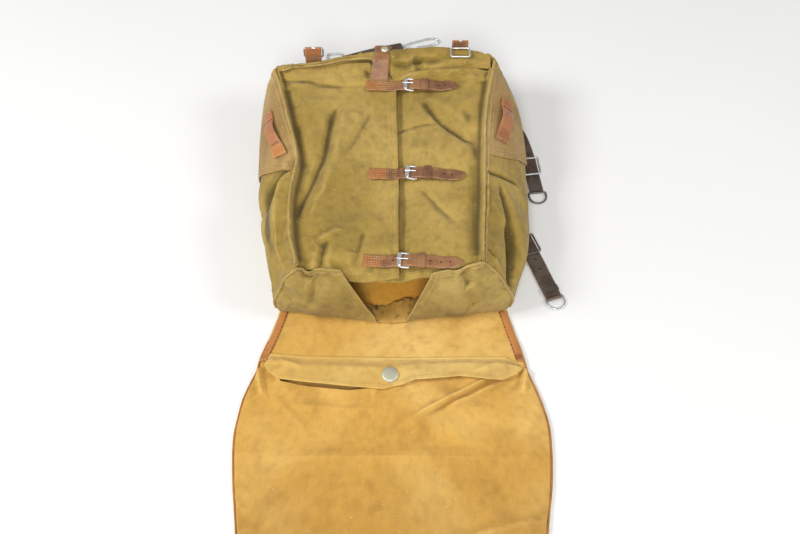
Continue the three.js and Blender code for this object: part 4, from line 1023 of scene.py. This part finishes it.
# %% Folds of the pocket and its flap
POCKET_FOLDS = [
    (30, -300, 116, -251, 3.0, 2.4, 0.8),
    (38, -304, 118, -255, -2.4, 2.6, 0.3),
    (66, -290, 126, -257, 2.6, 2.4, 0.6),
    (84, -278, 128, -254, -2.0, 2.0, 0.3),
    (96, -440, 168, -330, 2.4, 12, 0.3),
    (-140, -262, -96, -330, 1.6, 8, 0.2),
    (-160, -300, -150, -420, 1.2, 12, 0.1),
    (-110, -276, 10, -284, 1.0, 6, 0.3),
    (-150, -354, 150, -352, 0.5, 2, 0.1),
    (10, -470, 170, -424, 2.4, 8, 0.4),
    (-161, -234, -152, -276, 4.0, 4, 0.2),
    (159, -236, 151, -272, 4.0, 4, 0.2),
]
POCKET_DEEPEST = 1.5 * MM
POCKET_LIP = (
    (-152, -138, -130, -95, -50, -20, -8, 152),
    (-228, -239, -259, -266.5, -271.5, -268, -236, -228),
)
LIP_FROM, LIP_RISE = -310, 3.0
LIP_OPENS, LIP_TURNS = (2, 14), (0.55, 1)
FLAP_CREASES = [
    (-134, -228, -104, -244, 1.8, 4, 0.4),
    (96, -248, 130, -232, 1.8, 4, 0.4),
    (-60, -240, 30, -246, 0.9, 5, 0.2),
]
FLAP_TOP = ((-150, -145, -104, 0, 100, 134, 146, 152), (-231, -219, -223, -225, -224, -224, -232, -239))
FLAP_LOW = (
    (-150, -146, -133, -70, -10, 12, 26, 79, 129, 146, 152),
    (-238, -245, -254, -261, -268, -262, -255, -250, -256, -248, -243),
)
FLAP_GAPE = (
    (-150, -132, -95, -50, -14, 0, 20, 40, 110, 130, 152),
    (0, 3, 8, 7, 2, 0.5, 3.2, 6.5, 6, 2.5, 0),
)
FLAP_POINTS = (31, 150)
FLAP_SEAT, SEAT_RUN = (5.6, 10.4), (0.08, 0.42)
GAPE_LEAN, GAPE_CURVE = 0.67, 1.5
print("folds", len(POCKET_FOLDS) + len(FLAP_CREASES))

# %% Lid, pocket and flap
LID = 3.2 * MM
panels["lid"] = fine_grid("lid", grids["lid"])
wall_piece("lid_cloth", panels["lid"], UP, LID, LINING)
pocket = fine_grid("lid_pocket", grids["lid_pocket"])
x, y = bag_xy(pocket)
lip = np.minimum(np.interp(x[:1], *POCKET_LIP), y[:1])
open_share = smoothstep(y[:1] - lip, *LIP_OPENS)
near_lip = np.clip((y - LIP_FROM) / (y[:1] - LIP_FROM), 0, 1)
pocket[..., 1] -= near_lip * (y[:1] - lip) * MM
pocket[..., 2] += LIP_RISE * MM * open_share * smoothstep(near_lip, *LIP_TURNS)
pocket[..., 2] += np.maximum(fold_field(x, y, POCKET_FOLDS), -POCKET_DEEPEST)
panels["lid_pocket"] = settle(pocket, ("end", "left", "right"), *SETTLING["lid_pocket"])
wall_piece("lid_pocket_cloth", panels["lid_pocket"], UP, LIGHT_CANVAS, POCKET_CLOTH)
x = np.linspace(FLAP_TOP[0][0], FLAP_TOP[0][-1], FLAP_POINTS[1])
share = np.linspace(0, 1, FLAP_POINTS[0])[:, None]
gape = np.interp(x, *FLAP_GAPE)
y = np.interp(x, *FLAP_TOP) * (1 - share) + (np.interp(x, *FLAP_LOW) - GAPE_LEAN * gape) * share
seat = FLAP_SEAT[0] + (FLAP_SEAT[1] - FLAP_SEAT[0]) * smoothstep(share, *SEAT_RUN)
z = seat + gape * share**GAPE_CURVE
x = np.broadcast_to(x, y.shape)
flap = np.stack([x, y, z], axis=2) * MM + BAG_MIDDLE
flap[..., 2] += fold_field(x, y, FLAP_CREASES)
panels["pocket_flap"] = flap
wall_piece("pocket_flap_cloth", flap, UP, LIGHT_CANVAS, POCKET_FLAP_CLOTH)
print("lid, pocket and flap made")

# %% [markdown]
# ## Sweeps and stitches with Geometry Nodes
# A welt is a cord of folded cloth along a seam, and a stitched row is the same thread again and
# again along a line. Both follow a path, so both are node trees. The path is a line of edges. One
# tree turns it into a curve, lets it wander a little and sweeps a round section along it. The other
# sets a thread at every pitch along the curve, turned along it. The sizes are named inputs of the
# trees, and the result is taken as a plain mesh.

# %% Node trees
WANDER = {"Scale": 55.0, "Detail": 2.0}
SECTION_POINTS = 10
THREAD_BALL = {"Segments": 6, "Rings": 5, "Radius": 1.0}
THREAD_SCALE = {2: 0.4, 3: 0.56, "Seed": 7}


def new_tree(name, sizes):
    """The wire of a new tree's input and its output node. The sizes become named inputs."""
    tree = bpy.data.node_groups.new(name, "GeometryNodeTree")
    tree.interface.new_socket("Geometry", in_out="INPUT", socket_type="NodeSocketGeometry")
    for label in sizes:
        tree.interface.new_socket(label, in_out="INPUT", socket_type="NodeSocketFloat")
    tree.interface.new_socket("Geometry", in_out="OUTPUT", socket_type="NodeSocketGeometry")
    given = tree.nodes.new("NodeGroupInput")
    return Wire(tree, given.outputs["Geometry"]), tree.nodes.new("NodeGroupOutput")


def even_curve(line, step):
    """A line of edges as a curve with a point at every step."""
    curve = line.node("GeometryNodeMeshToCurve", (), {"Mesh": line})
    inputs = {"Curve": curve, "Length": line.beside(step)}
    return line.node("GeometryNodeResampleCurve", {"mode": "LENGTH"}, inputs)


def scaled(vector, factor):
    """A tree's vector times a number."""
    return vector.node("ShaderNodeVectorMath", {"operation": "SCALE"}, {0: vector, "Scale": factor})


def smooth_shaded(mesh):
    """A tree's mesh with smooth faces."""
    return mesh.node("GeometryNodeSetShadeSmooth", (), {"Geometry": mesh})


def finished(geometry, finish, result):
    """The end of a tree: plain geometry in its material."""
    whole = geometry.node("GeometryNodeRealizeInstances", (), {"Geometry": geometry})
    painted = whole.node("GeometryNodeSetMaterial", (), {"Geometry": whole, "Material": finish})
    painted.feeds(result, "Geometry")
    return geometry.tree


def sweep_tree(name, finish):
    """The tree that sweeps a round section along a line that wanders a little."""
    line, result = new_tree(name, ("Radius", "Wander", "Step"))
    even = even_curve(line, "Step")
    noise = line.node("ShaderNodeTexNoise", (), WANDER, "Color")
    around = line.node("ShaderNodeVectorMath", {"operation": "SUBTRACT"}, {0: noise, 1: (0.5, 0.5, 0.5)})
    offset = scaled(around, line.beside("Wander"))
    path = line.node("GeometryNodeSetPosition", (), {"Geometry": even, "Offset": offset})
    ring = {"Resolution": SECTION_POINTS, "Radius": line.beside("Radius")}
    section = line.node("GeometryNodeCurvePrimitiveCircle", (), ring)
    swept = {"Curve": path, "Profile Curve": section, "Fill Caps": True}
    return finished(smooth_shaded(line.node("GeometryNodeCurveToMesh", (), swept)), finish, result)


def stitch_tree(name, finish):
    """The tree that sets a thread at every pitch along a line."""
    line, result = new_tree(name, ("Pitch", "Length", "Radius"))
    even = even_curve(line, "Pitch")
    places = line.node("GeometryNodeCurveToPoints", {"mode": "EVALUATED"}, {"Curve": even})
    ball = smooth_shaded(line.node("GeometryNodeMeshUVSphere", (), THREAD_BALL))
    sizes = {"X": line.beside("Radius"), "Y": line.beside("Radius"), "Z": line.beside("Length")}
    size = line.node("ShaderNodeCombineXYZ", (), sizes)
    vary = line.node("FunctionNodeRandomValue", {"data_type": "FLOAT"}, THREAD_SCALE, 1)
    threads = {"Points": places, "Instance": ball, "Rotation": places.beside("Rotation")}
    threads["Scale"] = scaled(size, vary)
    return finished(line.node("GeometryNodeInstanceOnPoints", (), threads), finish, result)


print("node trees ready")

# %% [markdown]
# ## Lines for the trees
# A tree needs a line to follow. Most seams run along an edge of a panel at a steady distance, so
# the line is measured on the panel's grid, in millimetres from that edge, and lifted off the cloth
# a little. A tree is built once for each finish, and every piece sets its own sizes.

# %% Sweeps, stitches and lines along edges
trim = []


def grown(name, lines, tree_name, build, finish, closed=False, **sizes):
    """Runs a node tree, with its sizes in millimetres, on lines of points and keeps a plain mesh."""
    edges = []
    first = 0
    for line in lines:
        numbers = list(range(first, first + len(line)))
        edges += list(zip(numbers, numbers[1:] + numbers[:1] * closed))
        first += len(line)
    piece = mesh_piece(name, np.concatenate(lines), [], edges=edges)
    full_name = tree_name + "_" + finish.name
    tree = bpy.data.node_groups.get(full_name) or build(full_name, finish)
    modifier = piece.modifiers.new(tree.name, "NODES")
    modifier.node_group = tree
    for socket in tree.interface.items_tree:
        if socket.in_out == "INPUT" and socket.name in sizes:
            modifier[socket.identifier] = sizes[socket.name] * MM
    baked(piece).name = name
    return piece


def sweep(name, lines, finish, radius, wander=0.0, step=2.5, closed=False):
    """A round cord or wire along lines, with its sizes in millimetres."""
    sizes = {"Radius": radius, "Wander": wander, "Step": step}
    return grown(name, lines, "sweep", sweep_tree, finish, closed, **sizes)


def stitch(name, lines, finish, pitch=3.4, length=2.6, radius=0.75):
    """Rows of thread along lines, with their sizes in millimetres. They are trim."""
    sizes = {"Pitch": pitch, "Length": length, "Radius": radius}
    trim.append(grown(name, lines, "stitch", stitch_tree, finish, **sizes))


def inset_line(grid, facing, edge, distance, part=(0.0, 1.0), lift=0.25):
    """A line on a grid, over a part of one of its edges. Distance from the edge and lift are in mm."""
    sheet = raised(grid, facing, lift * MM)
    if edge in ("top", "end"):
        sheet = sheet.swapaxes(0, 1)
    if edge in ("right", "end"):
        sheet = sheet[:, ::-1]
    steps = lengths_of(sheet)[0] / MM
    first, last = (round(share * (len(sheet) - 1)) for share in part)
    wanted = np.broadcast_to(distance, len(sheet))
    line = [
        [np.interp(wanted[row], steps[row], sheet[row, :, k]) for k in range(3)]
        for row in range(first, last + 1)
    ]
    return np.array(line)


def panel_lines(node, *lines):
    """Lines along the edges of a panel, each given as inset_line takes them."""
    return [inset_line(panels[node], outwards[node], *line) for line in lines]


print("sweeps and stitches ready")

# %% [markdown]
# ## Welts, edges and seams
# The side seams stand up as two folded ridges that run together at the kink of the left side. The
# lid has a thin brown edge. Rows of stitches follow the hems, the patches, the flaps and the rim.

# %% Welts and edges
RADIUS_AND_WANDER = {
    "seam_welt": (1.7, 2.6), "seam_ridge": (1.5, 2.6), "corner_welt": (1.4, 2.0), "flap_edge": (0.9, 0.8),
    "rim_edge": (1.4, 1.6), "lap_edge": (0.95, 0.5), "lid_edge": (1.2, 0.8),
}
SECOND_RIDGE = {"left": ((0.0, 0.5), (11.0, 3.0)), "right": ((0.0, 0.97), (8.5, 5.0))}


def welt(kind, lines, finish=FADED, side=""):
    """A cord of cloth along lines, in the size of its kind. It is trim."""
    trim.append(sweep(kind + side, lines, finish, *RADIUS_AND_WANDER[kind]))


for side in SIDES:
    wall, flap = "side_panel_" + side, "top_flap_" + side
    part, spread = SECOND_RIDGE[side]
    reach = np.interp(np.linspace(0, 1, len(panels[wall])), part, spread)
    edges = panel_lines(flap, ("top", 0.4, (0.02, 0.98), 0), (OTHER[side], 0.4, (0.0, 1.0), 0))
    welt("seam_welt", panel_lines(wall, ("left", 0.8, (0.012, 0.985), 0.4)), side="_" + side)
    welt("seam_ridge", panel_lines(wall, ("left", reach, part, 0.3)), side="_" + side)
    welt("corner_welt", panel_lines(flap, (side, 0.5, (0.0, 0.9), 0.4)), side="_" + side)
    welt("flap_edge", edges, side="_" + side)
lid_sides = [(edge, 0.3, (0.15, 1.0), 0.2) for edge in SIDES]
lid_border = panel_lines("lid", *lid_sides, ("end", 0.3, (0.0, 1.0), 0.2))
welt("rim_edge", panel_lines("bottom_panel", ("end", 0.6, (0.01, 0.48))))
welt("lap_edge", panel_lines("front_panel_left", ("right", 0.3, (0.02, 0.99), 0)), OLIVE)
welt("lid_edge", lid_border, LID_EDGE)
print("welts and edges", len(trim))

# %% Stitched rows
INSIDE_HEM = (0.06, 0.94)
PITCH_LENGTH_RADIUS = {
    "patch": (5.2, 3.4, 0.9), "closure": (3.0, 2.4, 0.7),
    "loop": (3.2, 2.2, 0.7), "binding": (5.0, 4.0, 1.0),
}
hem_rows = panel_lines(
    "front_panel_left", ("top", HEMS["left"][1], (0.03, 0.98)), ("right", HEMS["free"][1], (0.03, 0.99)),
    ("end", HEMS["end"][1], (0.3, 0.98)),
)
hem_rows += panel_lines(
    "front_panel_right", ("top", HEMS["right"][1], (0.2, 0.97)), ("end", HEMS["end"][1], (0.1, 0.7)),
)
stitch("front_stitches", hem_rows, PALE_THREAD)
for side in SIDES:
    rows = panel_lines("top_flap_" + side, (OTHER[side], 4.5, (0.02, 0.97)), ("top", 6.5, (0.04, 0.96)))
    stitch("flap_stitches_" + side, rows, PALE_THREAD)
    ends = [("end", distance, (0.04, 0.98)) for distance in (3.5, 9.0)]
    rows = panel_lines("side_patch_" + side, ("left", 9.0, INSIDE_HEM), *ends)
    stitch("patch_stitches_" + side, rows, PALE_THREAD, *PITCH_LENGTH_RADIUS["patch"])
flap_rows = panel_lines("pocket_flap", ("end", 5.0, INSIDE_HEM), ("top", 4.0, INSIDE_HEM))
stitch("pocket_flap_stitches", flap_rows, PALE_THREAD)
stitch("rim_stitches", panel_lines("bottom_panel", ("end", 6.0, (0.02, 0.98))), PALE_THREAD)
print("welts, edges and stitched rows", len(trim))

# %% [markdown]
# ## Leather straps
# A strap is a long narrow wall. It is read from the frame like the cloth, made finer and a little
# crowned, because wet-worked leather is thicker along its middle. Where its end was sewn down it
# kept its orange dye. Holes are punched through it with a boolean, and rows of thread hold its end.

# %% Strap tools
STRAP_STEP = 1.8 * MM
FEWEST_ROWS = 12
STEEP_TURN = 89.5
STRAP_COLUMNS = 12
WHOLE = ((0, 1), (1, 1))
STILL = np.zeros((2, 3))
CROWN_BASE = 0.2
STRAP_RIM = 0.4
LEAST_TONE, DYE_EDGE = 0.15, (-3, 4)
MORE_ROWS, CURL_RUN = 4, (0, 0.7)
strips = {}


def pulled_tight(run, height):
    """Heights of a strap that is pulled tight over a route: the route's upper hull."""
    kept = []
    for point in zip(run, height):
        while len(kept) > 1:
            (ax, ay), (bx, by) = kept[-2:]
            if (bx - ax) * (point[1] - ay) < (by - ay) * (point[0] - ax):
                break
            kept.pop()
        kept.append(point)
    return np.interp(run, *zip(*kept))


def lengthened(grid, before, past, lift):
    """More rows at a strip's ends, in mm. The rows past its far end rise by lift."""
    steps = np.linspace(0, 1, MORE_ROWS + 1)[1:, None, None]
    first = grid[0] + steps[::-1] * before * MM * unit(grid[0] - grid[2])
    last = grid[-1] + steps * past * MM * unit(grid[-1] - grid[-3])
    last = last + smoothstep(steps, *CURL_RUN) * [0, 0, lift * MM]
    return np.concatenate([first] * (before > 0) + [grid] + [last] * (past > 0))


def widened(grid, factor):
    """A strip made wider about its middle line."""
    middle = grid.mean(axis=1, keepdims=True)
    return middle + (grid - middle) * factor


def strap_piece(
    node, facing, start, thickness, finish, crown=0.35, orange=0, bow=1.0, widths=WHOLE, more=(0, 0, 0),
    tight=False, slide=STILL,
):
    """A crowned strap over a strip of the frame, with its sizes in mm. orange is the length that kept
    its dye, bow scales its bow, widths scales it along its length, more lengthens its ends, tight pulls
    it straight over what it crosses, and slide moves its near and far end."""
    strip = strip_grid(node, facing, start, STEEP_TURN if tight else SHARP_TURN)
    run = np.linalg.norm(np.diff(strip.mean(axis=1), axis=0), axis=1).sum()
    grid = refined(strip, max(FEWEST_ROWS, round(run / STRAP_STEP)), STRAP_COLUMNS)
    if tight:
        route = grid.mean(axis=1)
        grid[..., 2] += (pulled_tight(-route[:, 1], route[:, 2]) - route[:, 2])[:, None]
    share = np.linspace(0, 1, len(grid))[:, None, None]
    grid = grid + ((1 - share) * slide[0] + share * slide[1]) * MM
    chord = grid[:1] * (1 - share) + grid[-1:] * share
    grid = chord + (grid - chord) * bow
    grid = lengthened(widened(grid, np.interp(share, *widths)), *more)
    across = np.linspace(-1, 1, STRAP_COLUMNS + 1)
    grid = raised(grid, facing, crown * MM * (CROWN_BASE - across**4))
    strips[node] = grid
    dyed = 1 - smoothstep(edge_distances(grid)["top"] - orange, *DYE_EDGE)
    tone = np.maximum(LEAST_TONE, dyed)
    return wall_piece(node + "_leather", grid, facing, thickness * MM, finish, rim=STRAP_RIM, tone=tone)


print("straps have a row every", round(STRAP_STEP / MM, 1), "mm")

# %% Punching holes
PUNCH_SIDES = 12
PUNCH_REACH = 5 * MM


def circle(sides):
    """Places round a circle of radius 1."""
    angles = [2 * math.pi * k / sides for k in range(sides)]
    return [(math.cos(angle), math.sin(angle)) for angle in angles]


def punch(piece, node, facing, shares, radius):
    """Cuts round holes of a radius in mm through a strap, at shares of its length."""
    grid = strips[node]
    normals = normals_of(grid, facing)
    column = grid.shape[1] // 2
    points, faces = [], []
    for row in (round(share * (len(grid) - 1)) for share in shares):
        turn = np.array(Vector(normals[row, column]).to_track_quat("Z", "Y").to_matrix())
        low = list(range(len(points), len(points) + PUNCH_SIDES))
        high = [k + PUNCH_SIDES for k in low]
        for level in (-PUNCH_REACH, PUNCH_REACH):
            ring = [(radius * MM * a, radius * MM * b, level) for a, b in circle(PUNCH_SIDES)]
            points += [grid[row, column] + turn @ place for place in ring]
        faces += [low[::-1], high]
        faces += [[low[k - 1], low[k], high[k], high[k - 1]] for k in range(PUNCH_SIDES)]
    cutter = mesh_piece("cutter", points, faces, OLIVE, smooth=False)
    cut = piece.modifiers.new("holes", "BOOLEAN")
    cut.operation = "DIFFERENCE"
    cut.object = cutter
    cut.solver = "EXACT"
    baked(piece)
    bpy.data.objects.remove(cutter)


print("punch ready")

# %% Straps
THICK = {"strap": 1.8, "chape": 2.0, "loop": 2.2, "pad": 1.4, "binding": 1.6, "harness": 2.8}
HOLE = {"strap": 1.25, "chape": 2.4, "tail": 1.6}
CLOSURE_HOLES = {
    "upper": (0.3, 0.72, 0.8), "middle": (0.3, 0.74, 0.82), "lower": (0.24, 0.33, 0.68, 0.76, 0.84),
}
CLOSURE_ROWS = [(edge, distance, (0.02, 0.17), 0.15) for edge in SIDES for distance in (2.6, 5.6)]
CLOSURE_DYED, CHAPE_DYED = 21, {"left": 10, "right": 0}
CHAPE_HOLE = (0.01,)
TAB = {
    "widths": ((0, 0.07, 0.18, 0.28, 0.42, 1), (0.9, 1.1, 0.82, 0.8, 0.98, 1.05)),
    "more": (0, 3, 1.5), "tight": True, "slide": np.array([(0, 0, 0), (-5, 0, 0)]),
}
LOOP = {"orange": 60, "bow": 0.85, "widths": ((0, 1), (0.8, 0.8))}
LOOP_SLIDE = {"left": STILL, "right": np.array([(3, -7, -3), (-5, -4, 5)])}
LOOP_PADS = {"top": slice(0, 10), "end": slice(-11, None)}
PAD_FINISH = {("left", "end"): BINDING, ("left", "top"): TAN}
PAD_WIDER, PAD_LIFT = 1.12, 1.5 * MM
TAILS = {"upper_tail": ((0.55, 0.7), 0), "lower_tail": ((0.71, 0.78, 0.84), 6)}
for level, shares in CLOSURE_HOLES.items():
    node = "closure_strap_" + level
    strap = strap_piece(node, UP, (-1, 0.1, 0), THICK["strap"], BROWN, orange=CLOSURE_DYED)
    rows = [inset_line(strips[node], UP, *row) for row in CLOSURE_ROWS]
    stitch("closure_stitches_" + level, rows, PALE_THREAD, *PITCH_LENGTH_RADIUS["closure"])
    punch(strap, node, UP, shares, HOLE["strap"])
strap_piece("centre_tab", (0, -0.3, 1), (0, 1, 0), THICK["strap"], BROWN, **TAB)
for side, outward in SIDES.items():
    node = "rim_chape_" + side
    chape = strap_piece(node, (0, 1, 0), UP, THICK["chape"], BROWN, orange=CHAPE_DYED[side])
    punch(chape, node, (0, 1, 0), CHAPE_HOLE, HOLE["chape"])
    loop, loop_way = "side_loop_" + side, (outward, 0, 0.3)
    strap_piece(loop, loop_way, (0, 1, 1), THICK["loop"], TAN, slide=LOOP_SLIDE[side], **LOOP)
    for end, part in LOOP_PADS.items():
        pad = strips[loop][part]
        pad = widened(pad, PAD_WIDER) + normals_of(pad, loop_way) * PAD_LIFT
        finish = PAD_FINISH.get((side, end), BROWN)
        name = f"loop_pad_{side}_{end}"
        tone = np.ones(pad.shape[:2])
        trim.append(wall_piece(name, pad, loop_way, THICK["pad"] * MM, finish, tone=tone))
        rows = [inset_line(pad, loop_way, edge, 1.6, (0.1, 0.9), 0.2) for edge in ("left", "right", end)]
        stitch(f"loop_stitches_{side}_{end}", rows, PALE_THREAD, *PITCH_LENGTH_RADIUS["loop"])
    node = "lid_binding_" + side
    strap_piece(node, UP, (0, 1, 0), THICK["binding"], BINDING, crown=2.2, orange=60, more=(7, 9, 1))
    strap_piece("shoulder_strap_" + side, UP, (0, 1, 0), THICK["harness"], HARNESS)
    binding = strips[node]
    rising = binding[:, 0, 0].mean() < binding[:, -1, 0].mean()
    inner = "right" if rising == (side == "left") else "left"
    rows = [inset_line(binding, UP, inner, 1.8, (0.03, 0.97))]
    stitch("binding_stitches_" + side, rows, DARK_THREAD, *PITCH_LENGTH_RADIUS["binding"])
strap_piece("hook_strap", UP, (-1, 0, 0), THICK["harness"], HARNESS)
for tail, (shares, past) in TAILS.items():
    strap = strap_piece(tail, UP, (0, 1, 0), THICK["harness"], HARNESS, crown=0.5, more=(0, past, 3))
    punch(strap, tail, UP, shares, HOLE["tail"])
print("straps made", len(strips))

# %% [markdown]
# ## Small solids
# Keepers, chapes, prongs and the hook have their right form in the frame, but with sharp edges. Real
# edges are never sharp, so their triangles are joined to faces again and every edge gets a small
# round bevel. The hook is a bent wire, so it is subdivided instead.

# %% Bevelled solids
FLAT_JOIN = math.radians(2)
BEVEL_FROM = math.radians(35)
HOOK_LEVELS = 2
SOLIDS = {"upper_tail_end": (HARNESS, 0.8), "lower_tail_keeper": (HARNESS, 0.5)}
for level in LEVELS:
    SOLIDS["closure_chape_" + level] = (BROWN, 0.5)
    SOLIDS["closure_keeper_" + level] = (BROWN, 0.35)
    SOLIDS["closure_prong_" + level] = (STEEL, 0.4)
SOLIDS["steel_hook"] = (STEEL, 0)


def rounded_solid(node, finish, bevel):
    """A node with its triangles joined and its edges bevelled, or subdivided where the bevel is 0."""
    piece = mesh_piece(node + "_solid", *frame_shell(node), finish)
    body = bmesh.new()
    body.from_mesh(piece.data)
    bmesh.ops.dissolve_limit(body, angle_limit=FLAT_JOIN, verts=body.verts, edges=body.edges)
    bmesh.ops.recalc_face_normals(body, faces=body.faces)
    body.to_mesh(piece.data)
    body.free()
    if bevel:
        edge = piece.modifiers.new("edges", "BEVEL")
        edge.width = bevel * MM
        edge.segments = 3
        edge.limit_method = "ANGLE"
        edge.angle_limit = BEVEL_FROM
        edge.harden_normals = True
    else:
        rounder = piece.modifiers.new("rounder", "SUBSURF")
        rounder.levels = HOOK_LEVELS
        rounder.render_levels = HOOK_LEVELS
    smooth_faces(baked(piece))


for node, (finish, bevel) in SOLIDS.items():
    rounded_solid(node, finish, bevel)
print("bevelled solids", len(SOLIDS))

# %% [markdown]
# ## Buckles and rings
# Buckles and rings are bent from round wire. The frame gives each one as a flat plate, whose place
# and directions come from its points: the direction in which they spread least is its normal. A
# closed line with round corners then carries the wire. On a closure buckle a thick roller lies over
# the strap, two arms run back beside it, and the heel bar is under it.

# %% Wire frames and rings
WIRES = {
    "rim_buckle_left": ((1, 0, 0), 1.3, STEEL), "rim_buckle_right": ((1, 0, 0), 1.3, STEEL),
    "hook_strap_buckle": ((0, 1, 0), 1.4, STEEL),
    "upper_tail_buckle": ((0, -1, 0), 1.4, STEEL), "lower_tail_buckle": ((0, -1, 0), 1.2, DULL_STEEL),
    "upper_tail_ring": ((0, -1, 0), 1.25, DULL_STEEL), "lower_tail_ring": ((0, -1, 0), 1.25, STEEL),
}
CORNER = 2.5
BEND_STEPS = 5
QUARTER = math.pi / 2
PLATE_UP = (0, -0.3, 1)


def plate_axes(node, along):
    """A flat plate's middle, its axes along, across and normal to it, and its half sizes."""
    points, _ = frame_shell(node)
    _, _, axes = np.linalg.svd(points - points.mean(axis=0), full_matrices=False)
    normal = axes[2] if axes[2] @ PLATE_UP > 0 else -axes[2]
    run = max((axes[0], -axes[0], axes[1], -axes[1]), key=lambda axis: axis @ along)
    basis = np.array([run, np.cross(normal, run), normal])
    spread = points @ basis.T
    return (spread.min(axis=0) + spread.max(axis=0)) / 2 @ basis, basis, np.ptp(spread, axis=0) / 2


def bend(u, v, radius, quarters):
    """A quarter turn round a corner's centre, as places on the plate, from a number of quarters on."""
    angles = [QUARTER * (quarters + step / BEND_STEPS) for step in range(BEND_STEPS + 1)]
    return [(u + radius * math.cos(angle), v + radius * math.sin(angle)) for angle in angles]


for node, (along, radius, finish) in WIRES.items():
    middle, basis, half = plate_axes(node, np.array(along, float))
    u, v = half[:2] / MM - radius
    far = v if node.endswith("ring") else CORNER
    outline = bend(u - far, v - far, far, 0) + bend(CORNER - u, v - CORNER, CORNER, 1)
    outline += bend(CORNER - u, CORNER - v, CORNER, 2) + bend(u - far, far - v, far, 3)
    line = middle + np.array(outline) * MM @ basis[:2]
    sweep(node + "_steel", [line], finish, radius, step=1.0, closed=True)
print("wire frames and rings", len(WIRES))

# %% Closure buckles
ROLLER, WIRE = 2.9, 1.3
BUCKLE = {"front": -7.0, "heel": 4.0, "side": 9.6, "corner": 2.6, "roller": 8.0, "roller_rise": 0.4}


def joined(name, pieces):
    """One mesh object from several that have the same finish."""
    body = bmesh.new()
    for piece in pieces:
        body.from_mesh(piece.data)
    whole = pieces[0]
    body.to_mesh(whole.data)
    body.free()
    for piece in pieces[1:]:
        bpy.data.objects.remove(piece)
    whole.name = name


for level in LEVELS:
    node = "closure_buckle_" + level
    middle, basis, _ = plate_axes(node, np.array([1.0, 0.0, 0.0]))
    front, heel, side, corner, half, rise = BUCKLE.values()
    outline = [(heel, side)] + bend(front + corner, side - corner, corner, 1)
    outline += bend(front + corner, corner - side, corner, 2) + [(heel, -side)]
    line = middle + np.array(outline) * MM @ basis[:2]
    rod = middle + np.array([(front, v, rise) for v in (-half, 0, half)]) * MM @ basis
    frame_wire = sweep("wire", [line], STEEL, WIRE, step=1.0, closed=True)
    roller = sweep("roller", [rod], STEEL, ROLLER, step=2.0)
    joined(node + "_steel", [frame_wire, roller])
print("closure buckles", len(LEVELS))

# %% [markdown]
# ## Button and stud
# The pocket's button is a pressed metal cap with a rolled rim, and the tab's stud is a small domed
# rivet head. Both are turned shapes: a profile of radius and height, spun round.

# %% Button and stud
CAPS = {
    "pocket_button": [
        (0, 1), (0.3, 0.98), (0.6, 0.9), (0.8, 0.8), (0.9, 0.68), (0.97, 0.45), (1, 0.2), (0.98, 0),
    ],
    "centre_stud": [(0, 1), (0.35, 0.95), (0.65, 0.78), (0.88, 0.45), (1, 0.1), (0.98, 0)],
}
TURNS = 40
RINGS = 32
for node, profile in CAPS.items():
    points, _ = frame_shell(node)
    low, high = points.min(axis=0), points.max(axis=0)
    x, y, _ = (low + high) / 2
    radius = (high - low)[:2].max() / 2
    tall = high[2] - low[2]
    fine = smooth_through(np.array(profile, float), np.linspace(0, len(profile) - 1, RINGS + 1))[1:]
    spun = [(x, y, low[2] + tall)]
    for share, rise in fine:
        reach, level = share * radius, low[2] + max(rise, 0) * tall
        spun += [(x + reach * a, y + reach * b, level) for a, b in circle(TURNS)]
    rings = [list(range(1 + ring * TURNS, 1 + (ring + 1) * TURNS)) for ring in range(RINGS)]
    after = [ring[1:] + ring[:1] for ring in rings]
    faces = [(0, a, b) for a, b in zip(rings[0], after[0])]
    for k in range(RINGS - 1):
        faces += zip(rings[k], rings[k + 1], after[k + 1], after[k])
    mesh_piece(node + "_cap", spun, faces + [rings[-1][::-1]], ZINC)
print("button and stud made")

# %% [markdown]
# ## What stands for what
# Every piece rides on the rucksack's one body, and the solid of the frame that it stands for is
# hidden. The cut of each cloth panel is measured and printed: where a panel was cut anew here, its
# own grid is measured, and elsewhere the frame's.

# %% Riding, replacing and cloth
SLOTS = {part["node"]: part["material_slot"] for part in frame["record"]["subparts"]}
RECUT = ("mouth_facing", "pocket_flap", "lid_pocket", "bottom_panel")
LAID = ("lid", "lid_pocket", "pocket_flap", "back_panel", "mouth_facing")
ENDINGS = ("_cloth", "_leather", "_solid", "_steel", "_cap")
for node in nodes:
    for ending in ENDINGS:
        piece = bpy.data.objects.get(node + ending)
        if piece:
            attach(piece, "root")
            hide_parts(node)
            SLOTS[node]
for piece in trim:
    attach(piece, "root")
for node in grids:
    grid = panels[node] if node in RECUT else grids[node]
    across, along = lengths_of(grid)
    a, b, c, d = grid[:-1, :-1], grid[:-1, 1:], grid[1:, 1:], grid[1:, :-1]
    area = float(np.linalg.norm(np.cross(c - a, d - b), axis=2).sum() / 2)
    flat = (float(across[:, -1].max()), float(along[-1].max()))
    how = "laid" if node in LAID else "stretched"
    bpy.data.objects[node + "_cloth"]
    min(area, flat[0] * flat[1])
    print(node, "cut", [round(size, 3) for size in flat], "area", round(area, 4))
